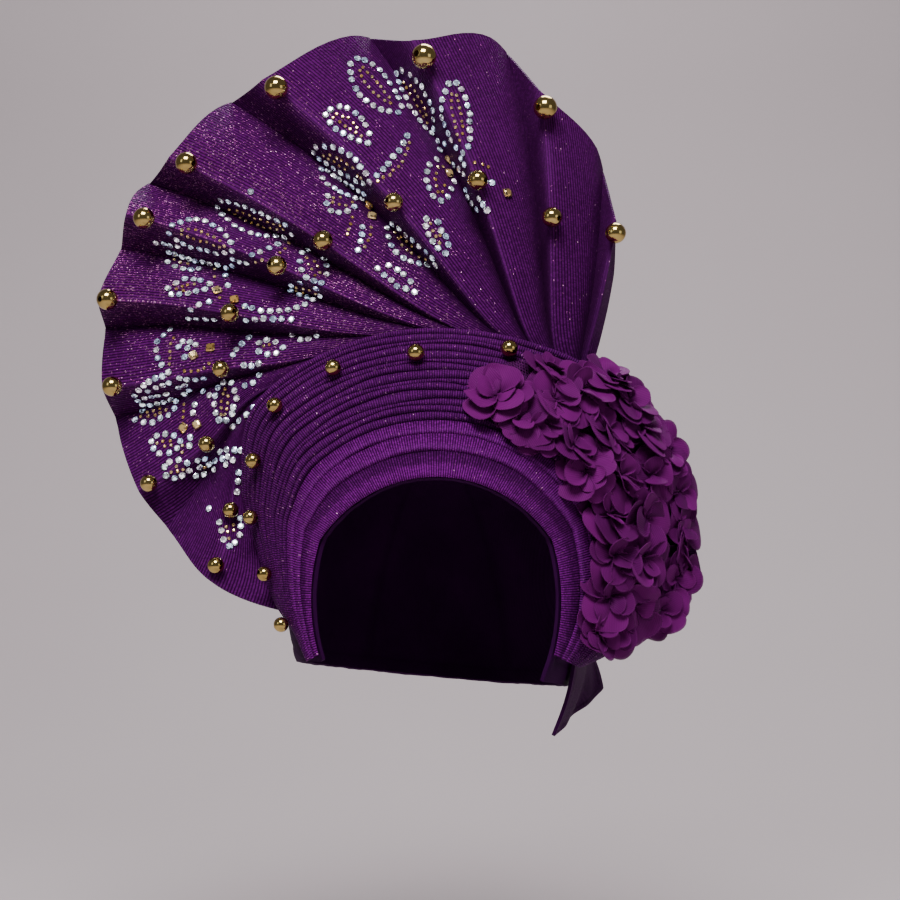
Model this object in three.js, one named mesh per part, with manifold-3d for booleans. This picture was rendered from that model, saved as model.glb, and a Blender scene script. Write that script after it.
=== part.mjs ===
// A tied gele head tie: a stiff pleated fan of woven cloth behind a wrap of fine folds, on a cap that
// opens for the face, with gilt beads and square stones on the folds and a spray of cloth flowers.
// Millimetres, +Z up. The wearer faces -Y. The origin is the middle of the head, at the top of the ears.
import * as THREE from "three";
import { mergeVertices } from "three/addons/utils/BufferGeometryUtils.js";
import Module from "manifold-3d";

const wasm = await Module();
wasm.setup();

// The head that it fits
const headHalfWidth = 70;
const headHalfLength = 95;
const headHalfHeight = 92;
const headCentreHeight = 8;
const headClearance = 1.5;

// Walls and the gaps between touching pieces
const capWall = 2;
const bandWall = 1.6;
const wrapWall = 1.5;
const fanWall = 1.4;
const netWall = 1.2;
const petalWall = 1;
const tailWall = 1.5;
const seatGap = 0.3;
const fanSeatGap = 0.6;
const netSeatGap = 0.8;

// The cap's two openings. Two cuts open it for the face: one leans back over the brow, and one is nearly
// upright beside the cheeks. The bottom is lower at the nape than at the cheeks, and higher at -X.
const browDepth = 52;
const browTilt = 0.59;
const cheekDepth = 64.5;
const cheekTilt = 0.07;
const capInset = 0.6;
const capBottomFront = -24;
const capBottomBack = -48;
const capBottomLean = 0.09;

// The wrap round the face: how far it spreads out and sets back from the face's edge
const wrapSpread = 71;
const wrapSetback = 50;
const wrapBulge = 4;
const bandShare = 0.33;
const bandFoldStep = 1.5;
const wrapFoldCount = 14;
const foldRelief = 0.5;
const foldCrestPlace = 0.55;

// The fan behind the wrap
const fanReach = 145;
const fanFoldDepth = 10;
const fanFoldSpread = 35;
const fanLean = 0.2;
const fanTuck = 3;

// Beads, stones, flowers and tails
const rimBeadDiameter = 12;
const midBeadDiameter = 9.6;
const borderBeadDiameter = 8;
const stoneSide = 4.6;
const stoneHeight = 1.8;
const flowerRadius = 17;
const openPetalLift = 22;
const raisedPetalLift = 50;
const raisedPetalShare = 0.6;
const stubRadius = 2.6;
const stubHeight = 2.4;
const tailBow = 1.5;
const tailLean = 0.5;

// Fineness of the faceted surfaces
const wrapSteps = 24;
const fanSteps = 7;
const fanSubSteps = 3;
const netRows = 12;
const netColumns = 4;
const tailRows = 3;
const tailColumns = 5;
const beadSides = 10;
const beadRings = 5;

// Each row is a station round the face, in degrees from straight up, positive towards +X. Spread and
// setback are shares of wrapSpread and wrapSetback.
const wrapStations = [
  { turn: -118, spread: 0.05, setback: 0.12 },
  { turn: -107, spread: 0.11, setback: 0.28 },
  { turn: -96, spread: 0.23, setback: 0.45 },
  { turn: -81, spread: 0.37, setback: 0.7 },
  { turn: -70, spread: 0.52, setback: 0.88 },
  { turn: -61, spread: 0.67, setback: 0.97 },
  { turn: -47, spread: 0.91, setback: 1.03 },
  { turn: -36, spread: 0.95, setback: 1.03 },
  { turn: 0, spread: 0.96, setback: 1 },
  { turn: 20, spread: 0.97, setback: 1 },
  { turn: 35, spread: 1, setback: 1.01 },
  { turn: 50, spread: 0.93, setback: 1.03 },
  { turn: 70, spread: 0.8, setback: 1.01 },
  { turn: 90, spread: 0.69, setback: 0.92 },
  { turn: 100, spread: 0.56, setback: 0.8 },
  { turn: 110, spread: 0.38, setback: 0.59 },
  { turn: 118, spread: 0.2, setback: 0.4 },
];

// The broad folds next to the face, as shares of the band's width
const bandFolds = [0.45, 0.31, 0.24];

// Each row is a fold line of the fan, from its root at the hub to its tip. Lift is +1 on a ridge and -1
// in a valley, reach a share of fanReach beyond the wrap's border, and curl how long the line hugs the
// border.
const fanFolds = [
  { name: "edge", lift: -0.6, root: 36, tip: 29.5, reach: 0.32, curl: 1.1 },
  { name: "a", lift: 1, root: 34, tip: 26, reach: 0.48, curl: 1.2 },
  { name: "ab", lift: -0.8, root: 32, tip: 20, reach: 0.7, curl: 1.6 },
  { name: "b", lift: 1, root: 30, tip: 12, reach: 0.82, curl: 1.95 },
  { name: "bc", lift: -1, root: 28, tip: 5.5, reach: 1, curl: 1.95 },
  { name: "c", lift: 1, root: 26, tip: -2.5, reach: 0.965, curl: 1.95 },
  { name: "cd", lift: -1, root: 24, tip: -9, reach: 1.02, curl: 2 },
  { name: "d", lift: 1, root: 22, tip: -19, reach: 0.93, curl: 2.1 },
  { name: "de", lift: -1, root: 20, tip: -25, reach: 0.915, curl: 2.35 },
  { name: "e", lift: 1, root: 18, tip: -32, reach: 0.83, curl: 2.6 },
  { name: "ef", lift: -1, root: 16, tip: -37.5, reach: 0.815, curl: 2.7 },
  { name: "f", lift: 1, root: 14, tip: -40, reach: 0.76, curl: 2.8 },
  { name: "fg", lift: -1, root: 12, tip: -45, reach: 0.69, curl: 3.05 },
  { name: "g", lift: 1, root: 10, tip: -50, reach: 0.655, curl: 3.35 },
  { name: "gh", lift: -1, root: 8, tip: -53.5, reach: 0.6, curl: 3.85 },
  { name: "h", lift: 1, root: 6, tip: -59.5, reach: 0.55, curl: 4.35 },
  { name: "hi", lift: -0.9, root: 4, tip: -64, reach: 0.485, curl: 4.4 },
  { name: "i", lift: 0.9, root: 2, tip: -72.5, reach: 0.395, curl: 4.45 },
  { name: "ij", lift: -0.7, root: 0, tip: -80, reach: 0.29, curl: 4.05 },
  { name: "j", lift: 0.7, root: -2, tip: -88.5, reach: 0.19, curl: 3.65 },
  { name: "foot", lift: 0, root: -4, tip: -98.5, reach: -0.01, curl: 1 },
];

// The two beads on a ridge, at its rim and halfway: shares of their diameters, and where they sit along it
const foldBeads = [
  { fold: "a", rim: 0.82, rimAt: 0.915 },
  { fold: "b", rim: 0.95, rimAt: 0.96, mid: 1, midAt: 0.71 },
  { fold: "c", rim: 1, rimAt: 0.96, mid: 1, midAt: 0.71 },
  { fold: "d", rim: 0.95, rimAt: 0.97, mid: 0.95, midAt: 0.69 },
  { fold: "e", rim: 0.88, rimAt: 0.97, mid: 1, midAt: 0.72 },
  { fold: "f", rim: 0.86, rimAt: 0.97, mid: 1, midAt: 0.745 },
  { fold: "g", rim: 0.86, rimAt: 0.98, mid: 0.95, midAt: 0.78 },
  { fold: "h", rim: 0.8, rimAt: 0.98, mid: 0.86, midAt: 0.77 },
  { fold: "i", rim: 0.7, rimAt: 0.975, mid: 0.82, midAt: 0.805 },
  { fold: "j", rim: 0.66, rimAt: 0.96, mid: 0.8, midAt: 0.79 },
];

// Beads along the wrap's border: the turn, the fold that carries it, and the share of the diameter
const borderBeads = [
  { turn: 16.8, fold: 10, size: 1 },
  { turn: -4.9, fold: 8, size: 1 },
  { turn: -24.9, fold: 9, size: 0.94 },
  { turn: -41.3, fold: 9, size: 0.94 },
  { turn: -55, fold: 8, size: 0.94 },
  { turn: -69, fold: 8, size: 0.9 },
  { turn: -84.5, fold: 6, size: 0.88 },
  { turn: -102, fold: 5, size: 0.86 },
];

// Square stones on the fan: how many fold lines they are from its edge, and how far along the line
const squareStones = [
  { across: 4.45, along: 0.69 },
  { across: 5.45, along: 0.76 },
  { across: 5.6, along: 0.73 },
  { across: 7.4, along: 0.72 },
  { across: 7.6, along: 0.7 },
  { across: 12.4, along: 0.83 },
  { across: 12.6, along: 0.79 },
  { across: 14.4, along: 0.81 },
  { across: 14.6, along: 0.84 },
  { across: 16.5, along: 0.83 },
  { across: 16.4, along: 0.87 },
];

// The net under the flowers: the shares of the way out between which it lies, at each turn
const netStations = [
  { turn: 13, from: 0.52, to: 0.68 },
  { turn: 25, from: 0.43, to: 0.86 },
  { turn: 38, from: 0.4, to: 0.96 },
  { turn: 52, from: 0.38, to: 1.06 },
  { turn: 68, from: 0.37, to: 1.08 },
  { turn: 84, from: 0.36, to: 1.08 },
  { turn: 98, from: 0.36, to: 1.0 },
  { turn: 110, from: 0.38, to: 0.8 },
];

// The flowers: turn and share of the way out, size as a share of flowerRadius, and spin in degrees
const flowers = [
  { turn: 17.7, share: 0.6, size: 1.1, spin: 10 },
  { turn: 31, share: 0.8, size: 1.1, spin: 50 },
  { turn: 43, share: 0.98, size: 0.95, spin: 20 },
  { turn: 35, share: 0.48, size: 0.85, spin: 30 },
  { turn: 49, share: 0.64, size: 1, spin: 5 },
  { turn: 56, share: 1.02, size: 0.9, spin: 40 },
  { turn: 62, share: 0.56, size: 1, spin: 60 },
  { turn: 70, share: 1, size: 0.95, spin: 15 },
  { turn: 76, share: 0.58, size: 1, spin: 45 },
  { turn: 84, share: 1.02, size: 0.95, spin: 33 },
  { turn: 90, share: 0.6, size: 0.95, spin: 0 },
  { turn: 98, share: 0.88, size: 0.85, spin: 22 },
  { turn: 106, share: 0.55, size: 0.8, spin: 12 },
];

// One petal of a corolla, from the notch before it: its angle as a share of the petal's turn, and the
// reach of its flat heart and of its rim as shares of the corolla's radius
const petalOutline = [
  { angle: 0, heart: 0.3, rim: 0.5 },
  { angle: 0.3, heart: 0.42, rim: 1 },
  { angle: 0.7, heart: 0.42, rim: 1 },
];

// The lower tail hangs from the cap's side behind the cheek. Its corners are shares of the head's half
// width, half length and half height.
const lowerTail = {
  frontDepth: -0.43,
  rearDepth: 0.11,
  top: -0.2,
  frontTip: [0.77, -0.38, -0.66],
  rearTip: [1.15, 0.04, -0.47],
};

// The upper tail's end, which shows past the flowers: turns at its root and tip, and shares of fanReach
// past the wrap's border
const upperTail = {
  rootTop: 74,
  rootBottom: 93,
  tipTop: 77,
  tipBottom: 89,
  reachTop: 0.09,
  reachBottom: 0.145,
};

const colours = {
  cloth: new THREE.MeshStandardMaterial({ color: "#3d0f4f", roughness: 0.75 }),
  cap: new THREE.MeshStandardMaterial({ color: "#35104a", roughness: 0.8 }),
  petal: new THREE.MeshStandardMaterial({ color: "#5c1466", roughness: 0.65 }),
  gilt: new THREE.MeshStandardMaterial({ color: "#b8953f", roughness: 0.15, metalness: 1 }),
  amber: new THREE.MeshStandardMaterial({ color: "#a8792e", roughness: 0.1, metalness: 0.3 }),
};

const radians = THREE.MathUtils.degToRad;
const mix = THREE.MathUtils.lerp;

// The value of a column at a key, on a smooth curve through the rows of a table
function along(rows, keyName, column, key) {
  const last = rows.length - 1;
  let i = 0;
  while (i < last - 1 && key > rows[i + 1][keyName]) i += 1;
  const slope = (a, b) => (rows[b][column] - rows[a][column]) / (rows[b][keyName] - rows[a][keyName]);
  const span = rows[i + 1][keyName] - rows[i][keyName];
  const t = THREE.MathUtils.clamp((key - rows[i][keyName]) / span, 0, 1);
  const startSlope = slope(Math.max(i - 1, 0), i + 1) * span;
  const endSlope = slope(i, Math.min(i + 2, last)) * span;
  const t2 = t * t;
  const t3 = t2 * t;
  return (
    (2 * t3 - 3 * t2 + 1) * rows[i][column] +
    (t3 - 2 * t2 + t) * startSlope +
    (3 * t2 - 2 * t3) * rows[i + 1][column] +
    (t3 - t2) * endSlope
  );
}

// A point at a turn round the head, a distance out from its middle and a depth
function atTurn(turn, out, depth) {
  const a = radians(turn);
  return new THREE.Vector3(out * Math.sin(a), depth, headCentreHeight + out * Math.cos(a));
}

// Where one of the face's two cuts meets the head, grown by an offset, at a turn
function cutEdge(turn, offset, depth, cutTilt) {
  const a = radians(turn);
  const tilt = cutTilt * Math.cos(a);
  const halfLength = headHalfLength + offset;
  const across = (Math.sin(a) / (headHalfWidth + offset)) ** 2;
  const upward = (Math.cos(a) / (headHalfHeight + offset)) ** 2;
  const square = across + upward + (tilt / halfLength) ** 2;
  const linear = (2 * depth * tilt) / halfLength ** 2;
  const rest = (depth / halfLength) ** 2 - 1;
  const out = (-linear + Math.sqrt(linear ** 2 - 4 * square * rest)) / (2 * square);
  return { out, depth: -(depth + tilt * out) };
}

// The edge of the face's opening at a turn
function faceEdge(turn, offset) {
  const brow = cutEdge(turn, offset, browDepth, browTilt);
  const cheek = cutEdge(turn, offset, cheekDepth, cheekTilt);
  return brow.out < cheek.out ? brow : cheek;
}

const capOffset = headClearance + capWall;
const bandOffset = capOffset + seatGap + bandWall / 2;

// The wrap's profile at a turn, from the face's edge to the border, as a bowed line
function profile(turn) {
  const start = faceEdge(turn, bandOffset);
  const end = {
    out: start.out + wrapSpread * along(wrapStations, "turn", "spread", turn),
    depth: start.depth + wrapSetback * along(wrapStations, "turn", "setback", turn),
  };
  const length = Math.hypot(end.out - start.out, end.depth - start.depth);
  const bulge = (2 * wrapBulge) / length;
  const control = {
    out: (start.out + end.out) / 2 + (end.depth - start.depth) * bulge,
    depth: (start.depth + end.depth) / 2 - (end.out - start.out) * bulge,
  };
  return { start, control, end, length };
}

// A point of the wrap's base surface and its outward normal
function wrapBase(turn, share) {
  const { start, control, end, length } = profile(turn);
  const rest = 1 - share;
  const blend = (k) => rest * rest * start[k] + 2 * rest * share * control[k] + share * share * end[k];
  const slope = (k) => rest * (control[k] - start[k]) + share * (end[k] - control[k]);
  const point = atTurn(turn, blend("out"), blend("depth"));
  const a = radians(turn);
  const normal = new THREE.Vector3(slope("depth") * Math.sin(a), -slope("out"), slope("depth") * Math.cos(a));
  return { point, normal: normal.normalize(), length };
}

// A closed wall over a grid of points: the grid, its copy behind it and the rim between them
function wallSolid(front, back) {
  const rows = front.length;
  const columns = front[0].length;
  const count = rows * columns;
  const positions = [...front.flat(), ...back.flat()].flatMap((p) => [p.x, p.y, p.z]);
  const index = [];
  const quad = (a, b, c, d) => index.push(a, b, c, a, c, d);
  for (let i = 0; i < rows - 1; i += 1) {
    for (let j = 0; j < columns - 1; j += 1) {
      const a = i * columns + j;
      const b = a + columns;
      quad(a, b, b + 1, a + 1);
      quad(count + a, count + a + 1, count + b + 1, count + b);
    }
  }
  for (let i = 0; i < rows - 1; i += 1) {
    const near = i * columns;
    const far = near + columns - 1;
    quad(near, count + near, count + near + columns, near + columns);
    quad(far, far + columns, count + far + columns, count + far);
  }
  for (let j = 0; j < columns - 1; j += 1) {
    const low = j;
    const high = (rows - 1) * columns + j;
    quad(low, low + 1, count + low + 1, count + low);
    quad(high, count + high, count + high + 1, high + 1);
  }
  const geometry = new THREE.BufferGeometry();
  geometry.setAttribute("position", new THREE.Float32BufferAttribute(positions, 3));
  geometry.setIndex(index);
  return facingOut(geometry);
}

// The same geometry, turned right side out if its volume is negative
function facingOut(geometry) {
  const position = geometry.attributes.position;
  const index = geometry.index.array;
  const corner = [new THREE.Vector3(), new THREE.Vector3(), new THREE.Vector3()];
  let volume = 0;
  for (let i = 0; i < index.length; i += 3) {
    corner.forEach((c, k) => c.fromBufferAttribute(position, index[i + k]));
    volume += corner[0].dot(corner[1].clone().cross(corner[2]));
  }
  if (volume < 0) {
    for (let i = 0; i < index.length; i += 3) [index[i + 1], index[i + 2]] = [index[i + 2], index[i + 1]];
  }
  return geometry;
}

// A geometry as a solid for cutting and joining, and a solid as a geometry again
function toSolid(geometry) {
  const bare = geometry.clone();
  bare.deleteAttribute("normal");
  bare.deleteAttribute("uv");
  const merged = mergeVertices(bare, 1e-4);
  const vertProperties = new Float32Array(merged.attributes.position.array);
  return new wasm.Manifold(
    new wasm.Mesh({ numProp: 3, vertProperties, triVerts: new Uint32Array(merged.index.array) }),
  );
}

function toGeometry(solid) {
  const mesh = solid.getMesh();
  const geometry = new THREE.BufferGeometry();
  geometry.setAttribute("position", new THREE.Float32BufferAttribute(mesh.vertProperties, 3));
  geometry.setIndex(new THREE.BufferAttribute(mesh.triVerts, 1));
  return geometry;
}

const headTie = new THREE.Group();

function addPiece(name, geometry, material) {
  const mesh = new THREE.Mesh(geometry, material);
  mesh.name = name;
  headTie.add(mesh);
  return mesh;
}

// The cap: a shell round the head, cut open for the face and below a slanted plane at the nape
function capGeometry() {
  const shell = (offset) => {
    const ball = new THREE.SphereGeometry(1, 24, 14);
    ball.scale(headHalfWidth + offset, headHalfLength + offset, headHalfHeight + offset);
    ball.translate(0, 0, headCentreHeight);
    return toSolid(ball);
  };
  const block = 4 * headHalfLength;
  const cutter = (angle, lean, y, z) => {
    const box = new THREE.BoxGeometry(block, block, block);
    box.translate(0, -block / 2, 0);
    box.rotateX(angle);
    box.rotateY(lean);
    box.translate(0, y, z);
    return toSolid(box);
  };
  const faceCut = (depth, tilt) => cutter(Math.atan(tilt), 0, -depth + capInset, headCentreHeight);
  const face = faceCut(browDepth, browTilt).intersect(faceCut(cheekDepth, cheekTilt));
  const drop = Math.atan2(capBottomFront - capBottomBack, 2 * headHalfLength);
  const bottomMiddle = (capBottomFront + capBottomBack) / 2;
  const bottom = cutter(Math.PI / 2 - drop, Math.atan(capBottomLean), 0, bottomMiddle);
  return toGeometry(shell(capOffset).subtract(shell(headClearance)).subtract(face).subtract(bottom));
}

// A folded strip of the wrap: stations round the face, and marks of share and height across it
function foldedStrip(marks, wall) {
  const first = wrapStations[0].turn;
  const last = wrapStations[wrapStations.length - 1].turn;
  const front = [];
  const back = [];
  for (let i = 0; i <= wrapSteps; i += 1) {
    const turn = mix(first, last, i / wrapSteps);
    const shift = (side) =>
      marks.map(({ share, height }) => {
        const { point, normal, length } = wrapBase(turn, share);
        return point.addScaledVector(normal, height * length + (side * wall) / 2);
      });
    front.push(shift(1));
    back.push(shift(-1));
  }
  return wallSolid(front, back);
}

const topLength = profile(0).length;

// The band's broad folds rise away from the face and step down to the next
function bandMarks() {
  const marks = [];
  const rise = bandFoldStep / topLength;
  let share = 0;
  bandFolds.forEach((fold) => {
    const width = fold * bandShare;
    marks.push({ share, height: 0 });
    marks.push({ share: share + 0.88 * width, height: rise });
    share += width;
  });
  marks.push({ share: bandShare, height: 0.2 * rise });
  return marks;
}

// The wrap's fine folds: a groove and a crest for each
const wrapStart = bandShare + seatGap / topLength;
const foldPitch = (1 - wrapStart) / wrapFoldCount;
const foldCrest = foldRelief * foldPitch;

function foldCrestAt(fold) {
  return wrapStart + (fold + foldCrestPlace) * foldPitch;
}

function wrapMarks() {
  const marks = [];
  for (let i = 0; i < wrapFoldCount; i += 1) {
    marks.push({ share: wrapStart + i * foldPitch, height: 0 });
    marks.push({ share: foldCrestAt(i), height: foldCrest });
  }
  marks.push({ share: 1, height: 0 });
  return marks;
}

// A point of the fan's middle surface, at a place across the fold lines and along them
const wrapBorderBack = (fanWall + wrapWall) / 2 + fanSeatGap;

function fanPoint(across, way) {
  const i = Math.min(Math.floor(across), fanFolds.length - 2);
  const t = across - i;
  const a = fanFolds[i];
  const b = fanFolds[i + 1];
  const turn = mix(mix(a.root, b.root, t), mix(a.tip, b.tip, t), way);
  const reach = fanReach * mix(a.reach, b.reach, t);
  const gap = -fanTuck + (reach + fanTuck) * way ** mix(a.curl, b.curl, t);
  const lift = mix(a.lift, b.lift, t * t * (3 - 2 * t));
  const { end } = profile(turn);
  const fold = lift * fanFoldDepth * (1 - Math.exp(-Math.max(gap, 0) / fanFoldSpread));
  return atTurn(turn, end.out + gap, end.depth + wrapBorderBack + fanLean * gap - fold);
}

function fanNormal(across, way) {
  const step = 0.02;
  const most = fanFolds.length - 1;
  const u = fanPoint(Math.min(across + step, most), way).sub(fanPoint(Math.max(across - step, 0), way));
  const v = fanPoint(across, Math.min(way + step, 1)).sub(fanPoint(across, Math.max(way - step, 0)));
  const normal = u.cross(v).normalize();
  return normal.y > 0 ? normal.negate() : normal;
}

function fanGeometry() {
  const front = [];
  const back = [];
  const columns = (fanFolds.length - 1) * fanSubSteps;
  for (let i = 0; i <= columns; i += 1) {
    const across = i / fanSubSteps;
    const shift = (side) =>
      Array.from({ length: fanSteps + 1 }, (_, j) => {
        const way = (j / fanSteps) ** 0.7;
        return fanPoint(across, way).addScaledVector(fanNormal(across, way), (side * fanWall) / 2);
      });
    front.push(shift(1));
    back.push(shift(-1));
  }
  return wallSolid(front, back);
}

// A bead that sits in front of a surface point
function addBead(name, point, normal, standOff, diameter) {
  const radius = diameter / 2;
  const bead = addPiece(name, new THREE.SphereGeometry(radius, beadSides, beadRings), colours.gilt);
  bead.quaternion.setFromUnitVectors(new THREE.Vector3(0, 1, 0), normal);
  bead.position.copy(point).addScaledVector(normal, standOff + seatGap + radius);
}

// A square cushion-cut stone: a flat back, eight sides and eight crown facets round a table. The corners'
// cut, the back, the girdle's height and the table are shares of its side and height.
const stoneCorner = 0.62;
const stoneBack = 0.9;
const stoneGirdle = 0.4;
const stoneTable = 0.62;

function stoneGeometry() {
  const outline = (side, height) => {
    const half = side / 2;
    const cut = half * stoneCorner;
    const corners = [
      [half, -cut],
      [half, cut],
      [cut, half],
      [-cut, half],
      [-half, cut],
      [-half, -cut],
      [-cut, -half],
      [cut, -half],
    ];
    return corners.map(([x, y]) => new THREE.Vector3(x, y, height));
  };
  const rings = [
    outline(stoneSide * stoneBack, 0),
    outline(stoneSide, stoneHeight * stoneGirdle),
    outline(stoneSide * stoneTable, stoneHeight),
  ];
  const positions = rings.flat().flatMap((p) => [p.x, p.y, p.z]);
  const index = [];
  for (let ring = 0; ring < 2; ring += 1) {
    for (let k = 0; k < 8; k += 1) {
      const a = ring * 8 + k;
      const b = ring * 8 + ((k + 1) % 8);
      index.push(a, b, b + 8, a, b + 8, a + 8);
    }
  }
  for (let k = 1; k < 7; k += 1) {
    index.push(0, k + 1, k);
    index.push(16, 16 + k, 16 + k + 1);
  }
  const geometry = new THREE.BufferGeometry();
  geometry.setAttribute("position", new THREE.Float32BufferAttribute(positions, 3));
  geometry.setIndex(index);
  return facingOut(geometry);
}

// A corolla facing +Z: petals that rise from a flat heart, with a thin wall
function corollaSolid(petalCount, radius, lift) {
  const rise = Math.tan(radians(lift));
  const heart = [];
  const rim = [];
  for (let k = 0; k < petalCount; k += 1) {
    petalOutline.forEach((p) => {
      const angle = (2 * Math.PI * (k + p.angle)) / petalCount;
      const at = (out, z) => [out * Math.cos(angle), out * Math.sin(angle), z];
      heart.push(at(radius * p.heart, 0));
      rim.push(at(radius * p.rim, radius * (p.rim - p.heart) * rise));
    });
  }
  const points = [...heart, ...rim];
  const layer = (z) => points.map((p) => [p[0], p[1], p[2] + z]);
  const positions = [...layer(petalWall / 2), ...layer(-petalWall / 2)].flat();
  const sides = heart.length;
  const under = points.length;
  const index = [];
  for (let k = 0; k < sides; k += 1) {
    const next = (k + 1) % sides;
    const outer = sides + k;
    const outerNext = sides + next;
    index.push(k, outer, outerNext, k, outerNext, next);
    index.push(under + k, under + outerNext, under + outer, under + k, under + next, under + outerNext);
    index.push(outer, under + outer, under + outerNext, outer, under + outerNext, outerNext);
  }
  for (let k = 1; k < sides - 1; k += 1) {
    index.push(0, k, k + 1);
    index.push(under, under + k + 1, under + k);
  }
  const geometry = new THREE.BufferGeometry();
  geometry.setAttribute("position", new THREE.Float32BufferAttribute(positions, 3));
  geometry.setIndex(index);
  return toSolid(facingOut(geometry));
}

// A flower facing +Z: an open corolla on the stub that sews it to the net, and a smaller raised one on it
function flowerSolid(radius) {
  const stub = new THREE.CylinderGeometry(stubRadius, stubRadius, stubHeight + netWall / 2, 6);
  stub.rotateX(Math.PI / 2);
  stub.translate(0, 0, (stubHeight - netWall / 2) / 2);
  return wasm.Manifold.union([
    toSolid(stub),
    corollaSolid(5, radius, openPetalLift).translate([0, 0, stubHeight]),
    corollaSolid(3, radius * raisedPetalShare, raisedPetalLift).translate([0, 0, stubHeight + petalWall / 2]),
  ]);
}

// The flower spray: a net that lies on the wrap's folds, with the flowers sewn to it
function sprayGeometry() {
  const first = netStations[0].turn;
  const last = netStations[netStations.length - 1].turn;
  const height = (length) => foldCrest * length + wrapWall / 2 + netSeatGap + netWall / 2;
  const front = [];
  const back = [];
  for (let i = 0; i <= netRows; i += 1) {
    const turn = mix(first, last, i / netRows);
    const from = along(netStations, "turn", "from", turn);
    const to = along(netStations, "turn", "to", turn);
    const shift = (side) =>
      Array.from({ length: netColumns + 1 }, (_, j) => {
        const { point, normal, length } = wrapBase(turn, mix(from, to, j / netColumns));
        return point.addScaledVector(normal, height(length) + (side * netWall) / 2);
      });
    front.push(shift(1));
    back.push(shift(-1));
  }
  const parts = [toSolid(wallSolid(front, back))];
  flowers.forEach(({ turn, share, size, spin }) => {
    const { point, normal, length } = wrapBase(turn, share);
    const place = new THREE.Matrix4();
    const facing = new THREE.Quaternion().setFromUnitVectors(new THREE.Vector3(0, 0, 1), normal);
    const turned = new THREE.Quaternion().setFromAxisAngle(new THREE.Vector3(0, 0, 1), radians(spin));
    const spun = facing.multiply(turned);
    point.addScaledVector(normal, height(length) + netWall / 2);
    place.compose(point, spun, new THREE.Vector3(1, 1, 1));
    parts.push(flowerSolid(flowerRadius * size).transform(place.elements));
  });
  return toGeometry(wasm.Manifold.union(parts));
}

// A tail's wall between two edge lines, given by a point for each place across and along
function tailGeometry(pointAt) {
  const middle = Array.from({ length: tailRows + 1 }, (_, i) =>
    Array.from({ length: tailColumns + 1 }, (_, j) => pointAt(j / tailColumns, i / tailRows)),
  );
  const normalAt = (i, j) => {
    const down = middle[Math.min(i + 1, tailRows)][j].clone().sub(middle[Math.max(i - 1, 0)][j]);
    const across = middle[i][Math.min(j + 1, tailColumns)].clone().sub(middle[i][Math.max(j - 1, 0)]);
    return down.cross(across).normalize();
  };
  const shift = (side) =>
    middle.map((row, i) =>
      row.map((p, j) => p.clone().addScaledVector(normalAt(i, j), (side * tailWall) / 2)),
    );
  return wallSolid(shift(1), shift(-1));
}

// The lower tail lies on the cap's side at its top, and hangs below the cap's rim
function lowerTailPoint(across, down) {
  const offset = capOffset + seatGap + tailWall / 2;
  const headSizes = new THREE.Vector3(headHalfWidth, headHalfLength, headHalfHeight);
  const y = headHalfLength * mix(lowerTail.frontDepth, lowerTail.rearDepth, across);
  const topHeight = headHalfHeight * lowerTail.top;
  const z = topHeight - headCentreHeight;
  const round = 1 - (y / (headHalfLength + offset)) ** 2 - (z / (headHalfHeight + offset)) ** 2;
  const top = new THREE.Vector3((headHalfWidth + offset) * Math.sqrt(round), y, topHeight);
  const tip = new THREE.Vector3(...lowerTail.frontTip).lerp(new THREE.Vector3(...lowerTail.rearTip), across);
  tip.multiply(headSizes);
  const bow = tailBow * Math.sin(Math.PI * down) * (1 + Math.sin(2 * Math.PI * across));
  return top.lerp(tip, down).add(new THREE.Vector3(bow, 0, 0));
}

// The upper tail is tucked behind the wrap's border, as the fan is
function upperTailPoint(across, out) {
  const turn = mix(
    mix(upperTail.rootTop, upperTail.rootBottom, across),
    mix(upperTail.tipTop, upperTail.tipBottom, across),
    out,
  );
  const gap = mix(-fanTuck, fanReach * mix(upperTail.reachTop, upperTail.reachBottom, across), out);
  const { end } = profile(turn);
  const wave = tailBow * out * Math.sin(Math.PI * across);
  return atTurn(turn, end.out + gap, end.depth + wrapBorderBack + tailLean * gap + wave);
}

addPiece("cap", capGeometry(), colours.cap);
addPiece("forehead_band", foldedStrip(bandMarks(), bandWall), colours.cloth);
addPiece("pleated_wrap", foldedStrip(wrapMarks(), wrapWall), colours.cloth);
addPiece("fan", fanGeometry(), colours.cloth);
addPiece("flower_spray", sprayGeometry(), colours.petal);
addPiece("lower_tail", tailGeometry(lowerTailPoint), colours.cloth);
addPiece("upper_tail", tailGeometry(upperTailPoint), colours.cloth);

foldBeads.forEach(({ fold, rim, rimAt, mid, midAt }) => {
  const across = fanFolds.findIndex(({ name }) => name === fold);
  const seatBead = (name, way, diameter) =>
    addBead(name, fanPoint(across, way), fanNormal(across, way), fanWall / 2, diameter);
  seatBead(`rim_bead_${fold}`, rimAt, rimBeadDiameter * rim);
  if (mid) seatBead(`mid_bead_${fold}`, midAt, midBeadDiameter * mid);
});

borderBeads.forEach(({ turn, fold, size }, i) => {
  const { point, normal, length } = wrapBase(turn, foldCrestAt(fold));
  const crest = foldCrest * length + wrapWall / 2;
  addBead(`border_bead_${i + 1}`, point, normal, crest, borderBeadDiameter * size);
});

squareStones.forEach(({ across, along: way }, i) => {
  const normal = fanNormal(across, way);
  const stone = addPiece(`square_stone_${i + 1}`, stoneGeometry(), colours.amber);
  stone.quaternion.setFromUnitVectors(new THREE.Vector3(0, 0, 1), normal);
  stone.position.copy(fanPoint(across, way)).addScaledVector(normal, fanWall / 2 + 2 * seatGap);
});

export default headTie;
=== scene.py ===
import bmesh
import bpy
import numpy as np
from mathutils import Matrix, Vector
from mathutils.bvhtree import BVHTree


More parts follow.
